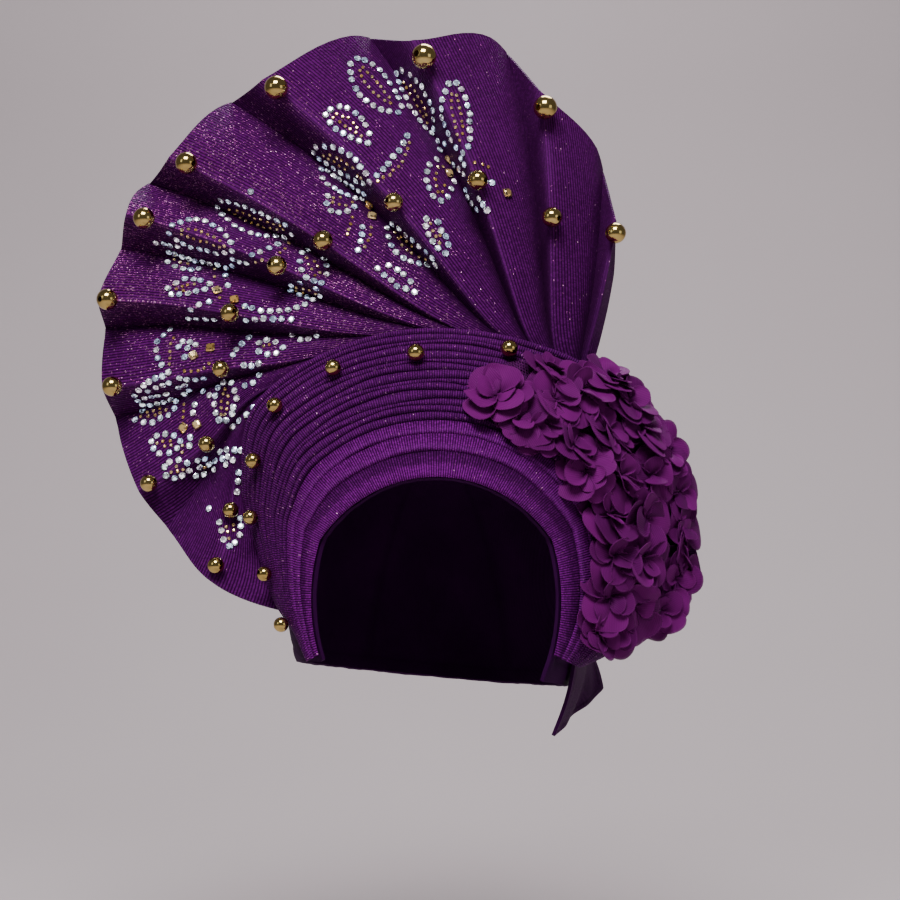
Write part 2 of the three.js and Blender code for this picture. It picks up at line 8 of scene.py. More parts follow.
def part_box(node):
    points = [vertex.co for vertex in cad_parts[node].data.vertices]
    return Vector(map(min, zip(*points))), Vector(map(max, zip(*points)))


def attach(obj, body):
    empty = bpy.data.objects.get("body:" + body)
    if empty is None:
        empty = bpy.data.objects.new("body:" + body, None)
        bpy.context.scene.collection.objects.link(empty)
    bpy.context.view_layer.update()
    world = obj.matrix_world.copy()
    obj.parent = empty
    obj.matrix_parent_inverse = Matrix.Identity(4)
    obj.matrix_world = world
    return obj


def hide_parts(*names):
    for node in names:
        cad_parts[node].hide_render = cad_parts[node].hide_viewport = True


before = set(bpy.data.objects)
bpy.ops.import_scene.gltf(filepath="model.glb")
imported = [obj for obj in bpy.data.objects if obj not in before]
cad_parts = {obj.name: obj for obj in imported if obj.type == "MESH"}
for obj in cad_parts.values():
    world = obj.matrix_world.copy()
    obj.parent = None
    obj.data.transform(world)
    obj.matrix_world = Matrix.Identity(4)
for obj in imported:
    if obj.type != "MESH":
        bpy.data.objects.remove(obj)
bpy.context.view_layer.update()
bpy.ops.object.select_all(action="DESELECT")

MM = 0.001

# The camera stands level in front of the opening, a metre from the origin, and its picture is square
CAMERA = np.array([6.3, -1000.0, 72.75])
LENS = 82.5
SENSOR = 36
PICTURE = 900
PIXEL = SENSOR / LENS / PICTURE
camera_data = bpy.data.cameras.new("camera")
camera = bpy.data.objects.new("camera", camera_data)
bpy.context.scene.collection.objects.link(camera)
camera.location = Vector(CAMERA) * MM
camera.rotation_euler = (np.pi / 2, 0, 0)
camera_data.lens = LENS
camera_data.sensor_width = SENSOR
camera_data.clip_start = 0.05
bpy.context.scene.camera = camera

# The half sizes of the form that the cap fits, its clearance and the walls, as the solids have them
HEAD = np.array([70.0, 95.0, 92.0])
HEAD_CENTRE = 8.0
CLEARANCE = 1.5
CAP_WALL = 2.0
BAND_WALL = 1.6
WRAP_WALL = 1.5
FAN_WALL = 1.4
TAIL_WALL = 1.5
SEAT_GAP = 0.3
BROW_DEPTH = 52.0
BROW_TILT = 0.59
CHEEK_DEPTH = 64.5
CHEEK_TILT = 0.07
CAP_BOTTOM_FRONT = -24.0
CAP_BOTTOM_BACK = -48.0
CAP_BOTTOM_LEAN = 0.09
WRAP_SPREAD = 71.0
WRAP_SETBACK = 50.0
WRAP_BULGE = 4.0
BAND_SHARE = 0.33
BAND_STEP = 1.5
FOLD_COUNT = 14
TURN_END = 118
FAN_REACH = 145.0
FAN_FOLD_DEPTH = 10.0
FAN_FOLD_SPREAD = 35.0
FAN_LEAN = 0.2
FAN_TUCK = 3.0
CAP_OFFSET = CLEARANCE + CAP_WALL
BAND_OFFSET = CAP_OFFSET + SEAT_GAP + BAND_WALL / 2

# Stations round the opening: the turn from straight up, and the shares of the spread and of the setback
STATIONS = np.array([
    (-118, 0.05, 0.12), (-107, 0.11, 0.28), (-96, 0.23, 0.45), (-81, 0.37, 0.7), (-70, 0.52, 0.88),
    (-61, 0.67, 0.97), (-47, 0.91, 1.03), (-36, 0.95, 1.03), (0, 0.96, 1.0), (20, 0.97, 1.0),
    (35, 1.0, 1.01), (50, 0.93, 1.03), (70, 0.8, 1.01), (90, 0.69, 0.92), (100, 0.56, 0.8),
    (110, 0.38, 0.59), (118, 0.2, 0.4),
])

# Fold lines of the fan: lift, turn at the root, turn at the tip, share of the reach, and curl. Ridges and
# valleys take turns, from the edge over the flowers to the foot at -X.
FOLD_LINES = np.array([
    (-0.6, 36, 29.5, 0.32, 1.1), (1, 34, 26, 0.48, 1.2), (-0.8, 32, 20, 0.7, 1.6),
    (1, 30, 12, 0.82, 1.95), (-1, 28, 5.5, 1.0, 1.95), (1, 26, -2.5, 0.965, 1.95),
    (-1, 24, -9, 1.02, 2.0), (1, 22, -19, 0.93, 2.1), (-1, 20, -25, 0.915, 2.35),
    (1, 18, -32, 0.83, 2.6), (-1, 16, -37.5, 0.815, 2.7), (1, 14, -40, 0.76, 2.8),
    (-1, 12, -45, 0.69, 3.05), (1, 10, -50, 0.655, 3.35), (-1, 8, -53.5, 0.6, 3.85),
    (1, 6, -59.5, 0.55, 4.35), (-0.9, 4, -64, 0.485, 4.4), (0.9, 2, -72.5, 0.395, 4.45),
    (-0.7, 0, -80, 0.29, 4.05), (0.7, -2, -88.5, 0.19, 3.65), (0, -4, -98.5, -0.01, 1),
])

# The net under the flowers: the turn, and the shares of the way out between which it lies
NET_STATIONS = np.array([
    (13, 0.52, 0.68), (25, 0.43, 0.86), (38, 0.4, 0.96), (52, 0.38, 1.06),
    (68, 0.37, 1.08), (84, 0.36, 1.08), (98, 0.36, 1.0), (110, 0.38, 0.8),
])


def along(rows, column, key):
    """The value of a table's column at a key, on a smooth curve through its rows."""
    keys, values = rows[:, 0], rows[:, column]
    slopes = np.empty(len(keys))
    slopes[1:-1] = (values[2:] - values[:-2]) / (keys[2:] - keys[:-2])
    slopes[0] = (values[1] - values[0]) / (keys[1] - keys[0])
    slopes[-1] = (values[-1] - values[-2]) / (keys[-1] - keys[-2])
    key = np.clip(np.asarray(key, float), keys[0], keys[-1])
    i = np.clip(np.searchsorted(keys, key) - 1, 0, len(keys) - 2)
    span = keys[i + 1] - keys[i]
    t = (key - keys[i]) / span
    return (
        (2 * t**3 - 3 * t**2 + 1) * values[i]
        + (t**3 - 2 * t**2 + t) * slopes[i] * span
        + (3 * t**2 - 2 * t**3) * values[i + 1]
        + (t**3 - t**2) * slopes[i + 1] * span
    )


def at_turn(turn, out, depth):
    """Points at a turn round the cap's form, a distance out from its middle and a depth."""
    a = np.radians(turn)
    return np.stack(np.broadcast_arrays(out * np.sin(a), depth, HEAD_CENTRE + out * np.cos(a)), axis=-1)


def cut_edge(turn, offset, depth, cut_tilt):
    """Where one of the opening's two cuts meets the cap's form, grown by an offset."""
    a = np.radians(turn)
    tilt = cut_tilt * np.cos(a)
    width, length, height = HEAD + offset
    square = (np.sin(a) / width) ** 2 + (np.cos(a) / height) ** 2 + (tilt / length) ** 2
    linear = 2 * depth * tilt / length**2
    rest = (depth / length) ** 2 - 1
    out = (-linear + np.sqrt(linear**2 - 4 * square * rest)) / (2 * square)
    return out, -(depth + tilt * out)


def face_edge(turn, offset):
    """The edge of the front opening: one cut leans back at the top, one is upright at the sides."""
    brow_out, brow_depth = cut_edge(turn, offset, BROW_DEPTH, BROW_TILT)
    cheek_out, cheek_depth = cut_edge(turn, offset, CHEEK_DEPTH, CHEEK_TILT)
    return np.minimum(brow_out, cheek_out), np.where(brow_out < cheek_out, brow_depth, cheek_depth)


def profile(turn):
    """The wrap's bowed line at a turn, from the opening's edge to the border."""
    start_out, start_depth = face_edge(turn, BAND_OFFSET)
    end_out = start_out + WRAP_SPREAD * along(STATIONS, 1, turn)
    end_depth = start_depth + WRAP_SETBACK * along(STATIONS, 2, turn)
    length = np.hypot(end_out - start_out, end_depth - start_depth)
    bulge = 2 * WRAP_BULGE / length
    out = ((start_out + end_out) / 2 + (end_depth - start_depth) * bulge)
    depth = ((start_depth + end_depth) / 2 - (end_out - start_out) * bulge)
    return (start_out, start_depth), (out, depth), (end_out, end_depth), length


def wrap_base(turn, share):
    """Points of the wrap's base surface, their outward normals and the wrap's breadth there."""
    turn, share = np.broadcast_arrays(np.asarray(turn, float), np.asarray(share, float))
    start, control, end, length = profile(turn)
    rest = 1 - share
    out, depth = (rest**2 * start[k] + 2 * rest * share * control[k] + share**2 * end[k] for k in (0, 1))
    d_out, d_depth = (rest * (control[k] - start[k]) + share * (end[k] - control[k]) for k in (0, 1))
    a = np.radians(turn)
    normal = np.stack([d_depth * np.sin(a), -d_out, d_depth * np.cos(a)], axis=-1)
    normal /= np.linalg.norm(normal, axis=-1, keepdims=True)
    return at_turn(turn, out, depth), normal, length


TOP_LENGTH = float(profile(0.0)[3])
WRAP_START = BAND_SHARE + SEAT_GAP / TOP_LENGTH
FOLD_PITCH = (1 - WRAP_START) / FOLD_COUNT
FOLD_CREST = 0.5 * FOLD_PITCH
BORDER_BACK = (FAN_WALL + WRAP_WALL) / 2 + 0.6


def wander(*terms):
    """A slow, even-tempered wave made of a few sines, for folds laid by hand."""
    return sum(size * np.sin(phase) for size, phase in terms)


# Materials


class Value:
    """A socket's value in a material, with sums written as in Python."""

    def __init__(self, shader, socket):
        self.shader = shader
        self.socket = socket

    def sum(self, operation, *others, clamp=False):
        values = {i: v for i, v in enumerate((self, *others))}
        settings = {"operation": operation, "use_clamp": clamp}
        return self.shader.node("ShaderNodeMath", values, 0, **settings)

    def __add__(self, other):
        return self.sum("ADD", other)

    def __sub__(self, other):
        return self.sum("SUBTRACT", other)

    def __mul__(self, other):
        return self.sum("MULTIPLY", other)

    def __truediv__(self, other):
        return self.sum("DIVIDE", other)

    def __pow__(self, other):
        return self.sum("POWER", other)

    def __rsub__(self, other):
        return (self * -1) + other

    __radd__ = __add__
    __rmul__ = __mul__

    def above(self, level):
        return self.sum("GREATER_THAN", level)

    def least(self, other):
        return self.sum("MINIMUM", other)

    def fract(self):
        return self.sum("FRACT")

    def floor(self):
        return self.sum("FLOOR")

    def size(self):
        return self.sum("ABSOLUTE")

    def tent(self):
        """1 in the middle of each whole step of the value, and 0 at the step's ends."""
        return 1 - (self.fract() - 0.5).size() * 2

    def ramp(self, low, high):
        """0 below low and 1 above high, eased between them."""
        values = {"Value": self, "From Min": low, "From Max": high}
        return self.shader.node("ShaderNodeMapRange", values, 0, interpolation_type="SMOOTHSTEP")


class Shader:
    """A material for one finish, with its Principled BSDF."""

    def __init__(self, name, **constants):
        self.material = bpy.data.materials.new(name)
        self.material.use_nodes = True
        self.tree = self.material.node_tree
        self.surface = self.tree.nodes["Principled BSDF"]
        self.output = self.tree.nodes["Material Output"]
        for socket, value in constants.items():
            self.set(socket.replace("_", " "), value)

    def set(self, socket, value):
        """Feeds a socket of the surface with a link or a plain value."""
        self.feed(self.surface.inputs[socket], value)

    def feed(self, socket, value):
        if isinstance(value, Value):
            self.tree.links.new(value.socket, socket)
        elif isinstance(value, (tuple, list)) and len(value) == 3 and len(socket.default_value) == 4:
            socket.default_value = (*value, 1)
        else:
            socket.default_value = value

    def node(self, kind, values=None, output=0, stops=None, **settings):
        """Adds a node, makes its settings, feeds its sockets and gives one output's value."""
        node = self.tree.nodes.new(kind)
        for key, setting in settings.items():
            setattr(node, key, setting)
        if stops:
            elements = node.color_ramp.elements
            while len(elements) < len(stops):
                elements.new(0.5)
            for element, (place, colour) in zip(elements, stops):
                element.position = place
                element.color = (*colour, 1)
        for key, value in (values or {}).items():
            self.feed(node.inputs[key], value)
        return Value(self, node.outputs[output])

    def uv(self):
        """The two lengths of the piece's own weave map, in millimetres."""
        place = self.node("ShaderNodeUVMap", uv_map="weave")
        return tuple(self.node("ShaderNodeSeparateXYZ", {0: place}, k) for k in (0, 1))

    def point(self, x, y):
        return self.node("ShaderNodeCombineXYZ", {0: x, 1: y})

    def attribute(self, name):
        return self.node("ShaderNodeAttribute", None, 2, attribute_name=name)

    def noise(self, scale, detail=2.0, vector=None):
        if vector is None:
            vector = self.node("ShaderNodeTexCoord", None, 3)
        return self.node("ShaderNodeTexNoise", {"Vector": vector, "Scale": scale, "Detail": detail})

    def scatter(self, cell, output=0):
        """A chance value, or a second one from output 1, that is even over each cell of the weave."""
        return self.node("ShaderNodeTexWhiteNoise", {"Vector": cell}, output, noise_dimensions="2D")

    def blend(self, factor, first, second):
        """A colour between two, by a factor."""
        values = {0: factor, 6: first, 7: second}
        return self.node("ShaderNodeMix", values, 2, data_type="RGBA")

    def bump(self, height, strength, distance):
        values = {"Height": height, "Strength": strength, "Distance": distance}
        self.set("Normal", self.node("ShaderNodeBump", values))


def ribbed_cloth(name, pitch, glitter, shaded_ground, rib):
    """Stiff ribbed weave with metal thread: ribs along v, a pitch apart in u, and sparks of glitter."""
    shader = Shader(name, IOR=1.4, Specular_IOR_Level=0.25, Specular_Tint=(0.8, 0.1, 0.95))
    shader.set("Sheen Weight", 0.04)
    shader.set("Sheen Tint", (0.6, 0.1, 0.6))
    u, v = shader.uv()
    yarn_pitch = 0.62
    line = u / pitch
    place = line.fract() - 0.5
    crown = 1 - (place.size() * 2) ** 2.2
    yarn = (v / yarn_pitch + line.floor() * 0.37).fract() - 0.5
    twist = 1 - (yarn.size() * 2) ** 2
    tone = shader.noise(26, 3)
    slub = shader.noise(1.0, 2, shader.point(line.floor() * 3.7, v / 14))
    groove = shader.attribute("groove")
    crease = shader.attribute("crease")
    cell = shader.point(line.floor(), (v / yarn_pitch + line.floor() * 0.37).floor())
    fleck = shader.scatter(cell)
    # Painted light and shade: rib crowns are painted lighter than the ground between the ribs, which is
    # painted shade, and the groove attribute paints shade into grooves, valleys and under folds; slub, tone
    # and fleck are the yarn's own tone
    light = crown ** 1.6 * (twist * 0.25 + 0.75) * (slub * 0.7 + 0.6) * (tone * 0.6 + 0.65)
    light = light * (fleck ** 2 * 1.1 + 0.75)
    light = light * (1 - groove * 0.98)
    base = shader.blend(light.least(1), shaded_ground, rib)
    # Wear and painted highlight: the cloth is painted lighter along creases and crests
    worn = shader.blend(crease * (tone * 0.35 + 0.1), base, (0.12, 0.014, 0.15))
    # Metal thread comes up as small sparks along the ribs, thicker in some zones than in others. The sparks
    # carry painted glints: they glow, they crowd where the light falls, and the painted shade of the grooves
    # hides them
    thread = (u / pitch * 2).floor()
    cell = shader.point(thread, (v / yarn_pitch + thread * 0.31).floor())
    chance = shader.scatter(cell)
    spangle = shader.attribute("spangle")
    zone = (shader.noise(14, 2).ramp(0.35, 0.7) + crease * 0.5 + 0.2) * spangle * glitter
    across = ((u / pitch * 2).fract() - 0.5).size()
    spark = (chance + zone * 0.26).above(1) * (0.26 - across).above(0) * (1 - groove)
    strength = shader.scatter(cell, 1) ** 7
    tint = shader.blend(strength, (0.22, 0.045, 0.18), (0.75, 0.4, 0.62))
    shader.set("Base Color", shader.blend(spark, worn, tint))
    shader.set("Metallic", spark * 0.6)
    shader.set("Roughness", 0.66 - spark * 0.3 - crown * 0.1)
    # Painted glint: the sparks glow
    glow = shader.blend(strength, (0.016, 0.003, 0.012), (0.3, 0.12, 0.22))
    shader.set("Emission Color", shader.blend(spark, (0, 0, 0), glow))
    shader.set("Emission Strength", 0.5)
    shader.bump(crown * (twist * 0.3 + 0.7) + tone * 0.3, 0.9, 0.0004)
    return shader.material


def lining_cloth():
    """Plain tricot lining of the cap, with a fine knit and soft pilling."""
    shader = Shader("lining", IOR=1.4, Specular_IOR_Level=0.15, Specular_Tint=(0.8, 0.2, 0.95))
    u, v = shader.uv()
    wale_pitch = 0.9
    wale = (u / wale_pitch).tent()
    course = (v / 0.7 + (u / wale_pitch).floor() * 0.5).tent()
    knit = wale * 0.6 + course * 0.4
    tone = shader.noise(30, 4)
    seam = shader.attribute("groove")
    shade = (knit * 0.2 + tone * 0.9) * (1 - seam * 0.7)
    shader.set("Base Color", shader.blend(shade.least(1), (0.008, 0.0006, 0.012), (0.038, 0.003, 0.05)))
    shader.set("Roughness", 0.85 - knit * 0.12)
    shader.bump(knit + tone, 0.35, 0.0003)
    return shader.material


def chiffon():
    """Sheer petal cloth: brighter and thinner towards a cut edge, with a fine thread line."""
    shader = Shader("chiffon", IOR=1.35, Specular_IOR_Level=0.15, Specular_Tint=(0.9, 0.3, 0.9))
    shader.set("Sheen Weight", 0.06)
    shader.set("Sheen Tint", (0.8, 0.15, 0.8))
    u, v = shader.uv()
    edge = shader.attribute("edge")
    heart = shader.attribute("heart")
    shade = shader.attribute("shade")
    thread = (u / 0.85).tent()
    cross = (v / 0.5).tent()
    tone = shader.noise(60, 3)
    # Painted shade: each petal darkens towards the heart of its flower
    light = (thread * 0.46 + cross * 0.14 + tone * 0.24 + shade * 0.56) * (1 - heart * 0.65)
    base = shader.blend(light.least(1), (0.02, 0.0006, 0.022), (0.135, 0.0045, 0.125))
    shader.set("Base Color", shader.blend(edge * 0.3, base, (0.2, 0.018, 0.19)))
    shader.set("Roughness", 0.6 - thread * 0.12)
    shader.set("Alpha", 1 - edge * 0.3)
    shader.bump(thread * 0.5 + cross * 0.3 + tone, 0.5, 0.0002)
    return shader.material


def net():
    """Fine net: six-sided holes between knotted threads."""
    shader = Shader("net", IOR=1.4, Specular_IOR_Level=0.2, Specular_Tint=(0.9, 0.3, 0.9))
    u, v = shader.uv()
    cells = shader.point(u / 1.5, v / 1.3)
    values = {"Vector": cells, "Scale": 1.0, "Randomness": 0.25}
    wall = shader.node("ShaderNodeTexVoronoi", values, 0, voronoi_dimensions="2D", feature="DISTANCE_TO_EDGE")
    hole = wall.ramp(0.13, 0.17)
    tone = shader.noise(80, 2)
    shader.set("Base Color", shader.blend(tone, (0.03, 0.002, 0.034), (0.1, 0.01, 0.1)))
    shader.set("Alpha", 1 - hole)
    shader.set("Roughness", 0.7)
    shader.bump(hole * -1 + tone * 0.2, 0.5, 0.0002)
    return shader.material


def gilt():
    """Bright gilt over a pressed ball, with faint rubbing and darker gilt near the thread hole."""
    shader = Shader("gilt", Metallic=1.0, Coat_Roughness=0.05)
    rub = shader.noise(220, 3)
    cloud = shader.noise(70, 2)
    worn = shader.attribute("edge")
    base = shader.blend(cloud, (0.42, 0.29, 0.07), (0.7, 0.53, 0.2))
    shader.set("Base Color", shader.blend(worn * 0.6, base, (0.3, 0.17, 0.05)))
    shader.set("Roughness", rub.ramp(0.35, 0.75) * 0.08 + 0.09 + worn * 0.2)
    shader.bump(rub, 0.06, 0.0002)
    return shader.material


def cut_stone(name, stops, metal, glow):
    """Foil-backed cut stone: each facet takes its own tone, a painted reflection, and the brightest facets
    glow with a painted glint.
    """
    shader = Shader(name, IOR=1.7, Coat_Weight=1.0, Coat_Roughness=0.03)
    tone = shader.attribute("facet")
    hue = shader.attribute("hue")
    colour = shader.node("ShaderNodeValToRGB", {0: hue}, stops=stops)
    painted_reflection = shader.blend(tone.ramp(0.0, 0.55), (0.03, 0.03, 0.05), colour)
    shader.set("Base Color", painted_reflection)
    shader.set("Metallic", metal)
    shader.set("Roughness", 0.05 + shader.noise(400, 1) * 0.1)
    # Painted glint: the brightest facets glow
    flash = tone.ramp(0.64, 0.88)
    shader.set("Emission Color", shader.blend(flash, (0, 0, 0), colour))
    shader.set("Emission Strength", glow)
    return shader.material


# Cloth pieces


def normals_of(points):
    """Unit normals of a grid of points."""
    down = np.gradient(points, axis=0)
    across = np.gradient(points, axis=1)
    normal = np.cross(down, across)
    return normal / np.maximum(np.linalg.norm(normal, axis=-1, keepdims=True), 1e-9)


def new_piece(name, points, faces, material, smooth):
    """A piece from points in millimetres and faces, with its material and soft shading."""
    mesh = bpy.data.meshes.new(name)
    mesh.from_pydata((np.asarray(points).reshape(-1, 3) * MM).tolist(), [], faces)
    mesh.materials.append(material)
    piece = bpy.data.objects.new(name, mesh)
    bpy.context.scene.collection.objects.link(piece)
    face_outward(piece)
    soften(piece, smooth)
    return piece


def face_outward(piece):
    """Turns the faces round if the closed mesh has its inside out."""
    work = bmesh.new()
    work.from_mesh(piece.data)
    if work.calc_volume(signed=True) < 0:
        bmesh.ops.reverse_faces(work, faces=work.faces)
    work.to_mesh(piece.data)
    work.free()


def soften(piece, angle):
    """Shades a piece smooth, with edges sharper than the angle left crisp."""
    bpy.context.view_layer.objects.active = piece
    piece.select_set(True)
    bpy.ops.object.shade_smooth_by_angle(angle=np.radians(angle))
    piece.select_set(False)


def paint(piece, name, values):
    """Gives each point of a piece a value that its material reads."""
    layer = piece.data.attributes.new(name, "FLOAT", "POINT")
    layer.data.foreach_set("value", np.asarray(values, np.float32).ravel())


def corner_points(piece):
    """The number of the point at each face corner of a piece."""
    corners = np.empty(len(piece.data.loops), np.int32)
    piece.data.loops.foreach_get("vertex_index", corners)
    return corners


def map_weave(piece, lengths):
    """Lays the weave on a piece, by two lengths in millimetres for each face corner."""
    layer = piece.data.uv_layers.new(name="weave")
    layer.data.foreach_set("uv", lengths.astype(np.float32).ravel())


def grid_faces(rows, columns):
    """The faces of a closed wall: a front grid, a back grid and the rim between them."""
    count = rows * columns
    a = (np.arange(rows - 1)[:, None] * columns + np.arange(columns - 1)).ravel()
    b = a + columns
    faces = np.stack([a, b, b + 1, a + 1], 1).tolist()
    faces += (np.stack([a, a + 1, b + 1, b], 1) + count).tolist()
    ends = np.arange(rows - 1) * columns
    sides = np.arange(columns - 1)
    low, high = sides, sides + (rows - 1) * columns
    near, far = ends, ends + columns - 1
    faces += np.stack([near, near + count, near + count + columns, near + columns], 1).tolist()
    faces += np.stack([far, far + columns, far + columns + count, far + count], 1).tolist()
    faces += np.stack([low, low + 1, low + 1 + count, low + count], 1).tolist()
    faces += np.stack([high, high + count, high + 1 + count, high + 1], 1).tolist()
    return faces


def cloth_wall(name, middle, wall, material, weave, weave_before=None, smooth=50, **painted):
    """A sheet of cloth with a wall, round a grid of points. The weave map holds millimetres, and may
    differ on the two sides of a column, where a fold turns the ribs."""
    rows, columns = middle.shape[:2]
    wall = np.broadcast_to(wall, (rows, columns))[..., None] / 2
    normal = normals_of(middle)
    points = np.concatenate([middle + normal * wall, middle - normal * wall]).reshape(-1, 3)
    piece = new_piece(name, points, grid_faces(rows, columns), material, smooth)
    for key, values in painted.items():
        values = np.broadcast_to(values, (rows, columns)).ravel()
        paint(piece, key, np.concatenate([values, values]))
    before = weave if weave_before is None else weave_before
    flat, flat_before = weave.reshape(-1, 2), before.reshape(-1, 2)
    totals = np.empty(len(piece.data.polygons), np.int32)
    piece.data.polygons.foreach_get("loop_total", totals)
    face = np.repeat(np.arange(len(totals)), totals)
    place = corner_points(piece) % (rows * columns)
    column = place % columns
    first = np.full(len(totals), columns)
    np.minimum.at(first, face, column)
    ends_here = column > first[face]
    map_weave(piece, np.where(ends_here[:, None], flat_before[place], flat[place]))
    return piece


def lengths_down(points):
    """Running length along the first direction of a grid."""
    steps = np.linalg.norm(np.diff(points, axis=0), axis=-1)
    return np.concatenate([np.zeros((1, points.shape[1])), np.cumsum(steps, axis=0)])


def lengths_across(points):
    return lengths_down(points.swapaxes(0, 1)).T


fan_cloth = ribbed_cloth("fan_cloth", 1.55, 1.0, (0.006, 0.0001, 0.008), (0.074, 0.0022, 0.092))
wrap_cloth = ribbed_cloth("wrap_cloth", 1.12, 0.3, (0.003, 0.0001, 0.005), (0.088, 0.0022, 0.11))
band_cloth = ribbed_cloth("band_cloth", 1.12, 0.3, (0.005, 0.0001, 0.008), (0.15, 0.0035, 0.185))
tail_cloth = ribbed_cloth("tail_cloth", 1.2, 0.1, (0.005, 0.0002, 0.007), (0.045, 0.0025, 0.056))
petal_cloth = chiffon()
net_cloth = net()
cap_lining = lining_cloth()
gilt_finish = gilt()
crystal = cut_stone(
    "crystal",
    [(0.0, (0.9, 0.95, 1.0)), (0.35, (0.55, 0.72, 1.0)), (0.65, (0.86, 0.97, 1.0)), (1.0, (1.0, 0.9, 1.0))],
    0.7,
    1.5,
)
amber_glass = cut_stone("amber", [(0.0, (0.75, 0.42, 0.1)), (1.0, (0.95, 0.72, 0.35))], 0.85, 0.35)


# The fan

PHASES_STEEP = 0.5 * (0.5 - 0.5 * np.cos(np.pi * np.linspace(0, 1, 10)))
PHASES_BROAD = 0.5 + 0.5 * (0.5 - 0.5 * np.cos(np.pi * np.linspace(0, 1, 17)))
PHASES = np.concatenate([PHASES_STEEP[:-1], PHASES_BROAD])


def fan_place(across, way, lift):
    """A point of the fan from its place between fold lines, its place along them, and its lift."""
    i = np.clip(np.floor(across).astype(int), 0, len(FOLD_LINES) - 2)
    t = across - i
    row = FOLD_LINES[i] * (1 - t)[..., None] + FOLD_LINES[i + 1] * t[..., None]
    keyed = np.column_stack([np.arange(len(FOLD_LINES)), FOLD_LINES])
    reach = FAN_REACH * along(keyed, 4, across)
    turn = row[..., 1] * (1 - way) + row[..., 2] * way
    gap = -FAN_TUCK + (reach + FAN_TUCK) * way ** row[..., 4]
    end = profile(turn)[2]
    fold = lift * FAN_FOLD_DEPTH * (1 - np.exp(-np.maximum(gap, 0) / FAN_FOLD_SPREAD))
    return at_turn(turn, end[0] + gap, end[1] + BORDER_BACK + FAN_LEAN * gap - fold)


def fan_sheet():
    """The fan's grid: from each ridge the cloth drops steeply into a valley that lies close under it, and
    then climbs in a broad, slightly crowned panel to the next ridge."""
    rows = 110
    way = (np.linspace(0, 1, rows) ** 0.72)[:, None]
    across, lift, groove, crease, panel = [], [], [], [], []
    edge_steps = np.linspace(0, 1, 8)[:-1]
    across.append(edge_steps[None] + 0 * way)
    lift.append(FOLD_LINES[0, 0] + (1 - FOLD_LINES[0, 0]) * edge_steps[None] + 0 * way)
    groove.append(0 * across[0])
    crease.append(0 * across[0])
    panel += [0] * len(edge_steps)
    ridges = np.arange(1, len(FOLD_LINES) - 1, 2)
    for number, ridge in enumerate(ridges):
        phases = PHASES[:-1]
        last = ridge + 2 >= len(FOLD_LINES)
        if last:
            steps = np.linspace(0, 1, 12)
            across.append(ridge + steps[None] + 0 * way)
            lift.append(FOLD_LINES[ridge, 0] * (1 - steps[None] ** 1.3) + 0 * way)
            groove.append(0 * across[-1])
            crease.append(np.exp(-(steps[None] * 12) ** 2) + 0 * way)
            panel += [2 * number + 1] * len(steps)
            continue
        valley = 0.15 + 0.2 * way**2.2
        steep = phases < 0.5
        t = np.where(steep, phases / 0.5, (phases - 0.5) / 0.5)[None]
        across.append(ridge + 2 * np.where(steep[None], valley * t, valley + (1 - valley) * t))
        top, low, top2 = FOLD_LINES[ridge, 0], FOLD_LINES[ridge + 1, 0], FOLD_LINES[ridge + 2, 0]
        drop = 0.55 * t + 0.45 * t * t * (3 - 2 * t)
        crown = 0.7 * (1 - (1 - t) ** 1.7) + 0.3 * t
        lift.append(np.where(steep[None], top + (low - top) * drop, low + (top2 - low) * crown) + 0 * way)
        # Painted shade near each valley, weaker towards the rim, and wear with painted highlight along each
        # ridge
        near_valley = np.where(steep[None], 1 - t, t) * np.where(steep[None], 0.85, 1.6 + 3.8 * way)
        groove.append(np.exp(-near_valley**2) * (1 - 0.75 * way**2.2))
        near_ridge = np.where(steep[None], t * 5, (1 - t) * 14)
        crease.append(np.exp(-near_ridge**2) * (0.35 + 0.65 * way))
        panel += [2 * number + 1 if s else 2 * number + 2 for s in steep]
    across, lift, groove, crease = (np.concatenate(x, axis=1) for x in (across, lift, groove, crease))
    middle = fan_place(across, way + 0 * across, lift)
    # Painted shade is darkest where the folds crowd at the hub, and the glitter's painted glints are
    # strongest on the panels at -X and up, where the light falls
    groove = np.maximum(groove, 0.75 * np.exp(-((way / 0.16) ** 2)))
    aside = ((across - 5.5) / 4).clip(0, 1) * ((17.5 - across) / 4).clip(0, 1)
    spangle = 0.03 + 0.9 * aside * aside * (3 - 2 * aside)
    # Slow undulation of stiffened cloth, less at the ridges that the beads hold
    sway = wander((0.5, across * 2.1 + way * 5), (0.35, across * 3.7 - way * 9), (0.3, way * 17 + across))
    middle[..., 1] += sway * way * (1 - crease)
    return middle, np.array(panel), groove, crease, spangle


def fan_weave(middle, panel):
    """Ribs run along the ridges: within a panel, u counts from its ridge and v from the wrap's border."""
    down = lengths_down(middle)
    across = lengths_across(middle)
    u = np.empty(across.shape)
    u_before = np.empty(across.shape)
    for k in np.unique(panel):
        own = np.flatnonzero(panel == k)
        stop = min(own[-1] + 1, middle.shape[1] - 1)
        # Odd panels drop from the ridge at their start, even ones climb to the ridge at their end
        from_ridge = own[0] if k % 2 else stop
        span = np.arange(own[0], stop + 1)
        measured = np.abs(across[:, span] - across[:, [from_ridge]]) + 40.0 * k
        u[:, own] = measured[:, : len(own)]
        u_before[:, own[0] + 1: stop + 1] = measured[:, 1:]
    u_before[:, 0] = u[:, 0]
    return np.stack([u, down], -1), np.stack([u_before, down], -1)


fan_middle, fan_panel, fan_painted_shade, fan_crease, fan_spangle = fan_sheet()
weave, weave_before = fan_weave(fan_middle, fan_panel)
fan = cloth_wall(
    "fan_sheet", fan_middle, 1.1, fan_cloth, weave, weave_before, 55,
    groove=fan_painted_shade, crease=fan_crease, spangle=fan_spangle,
)
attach(fan, "root")
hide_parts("fan")


# The wrap and the band


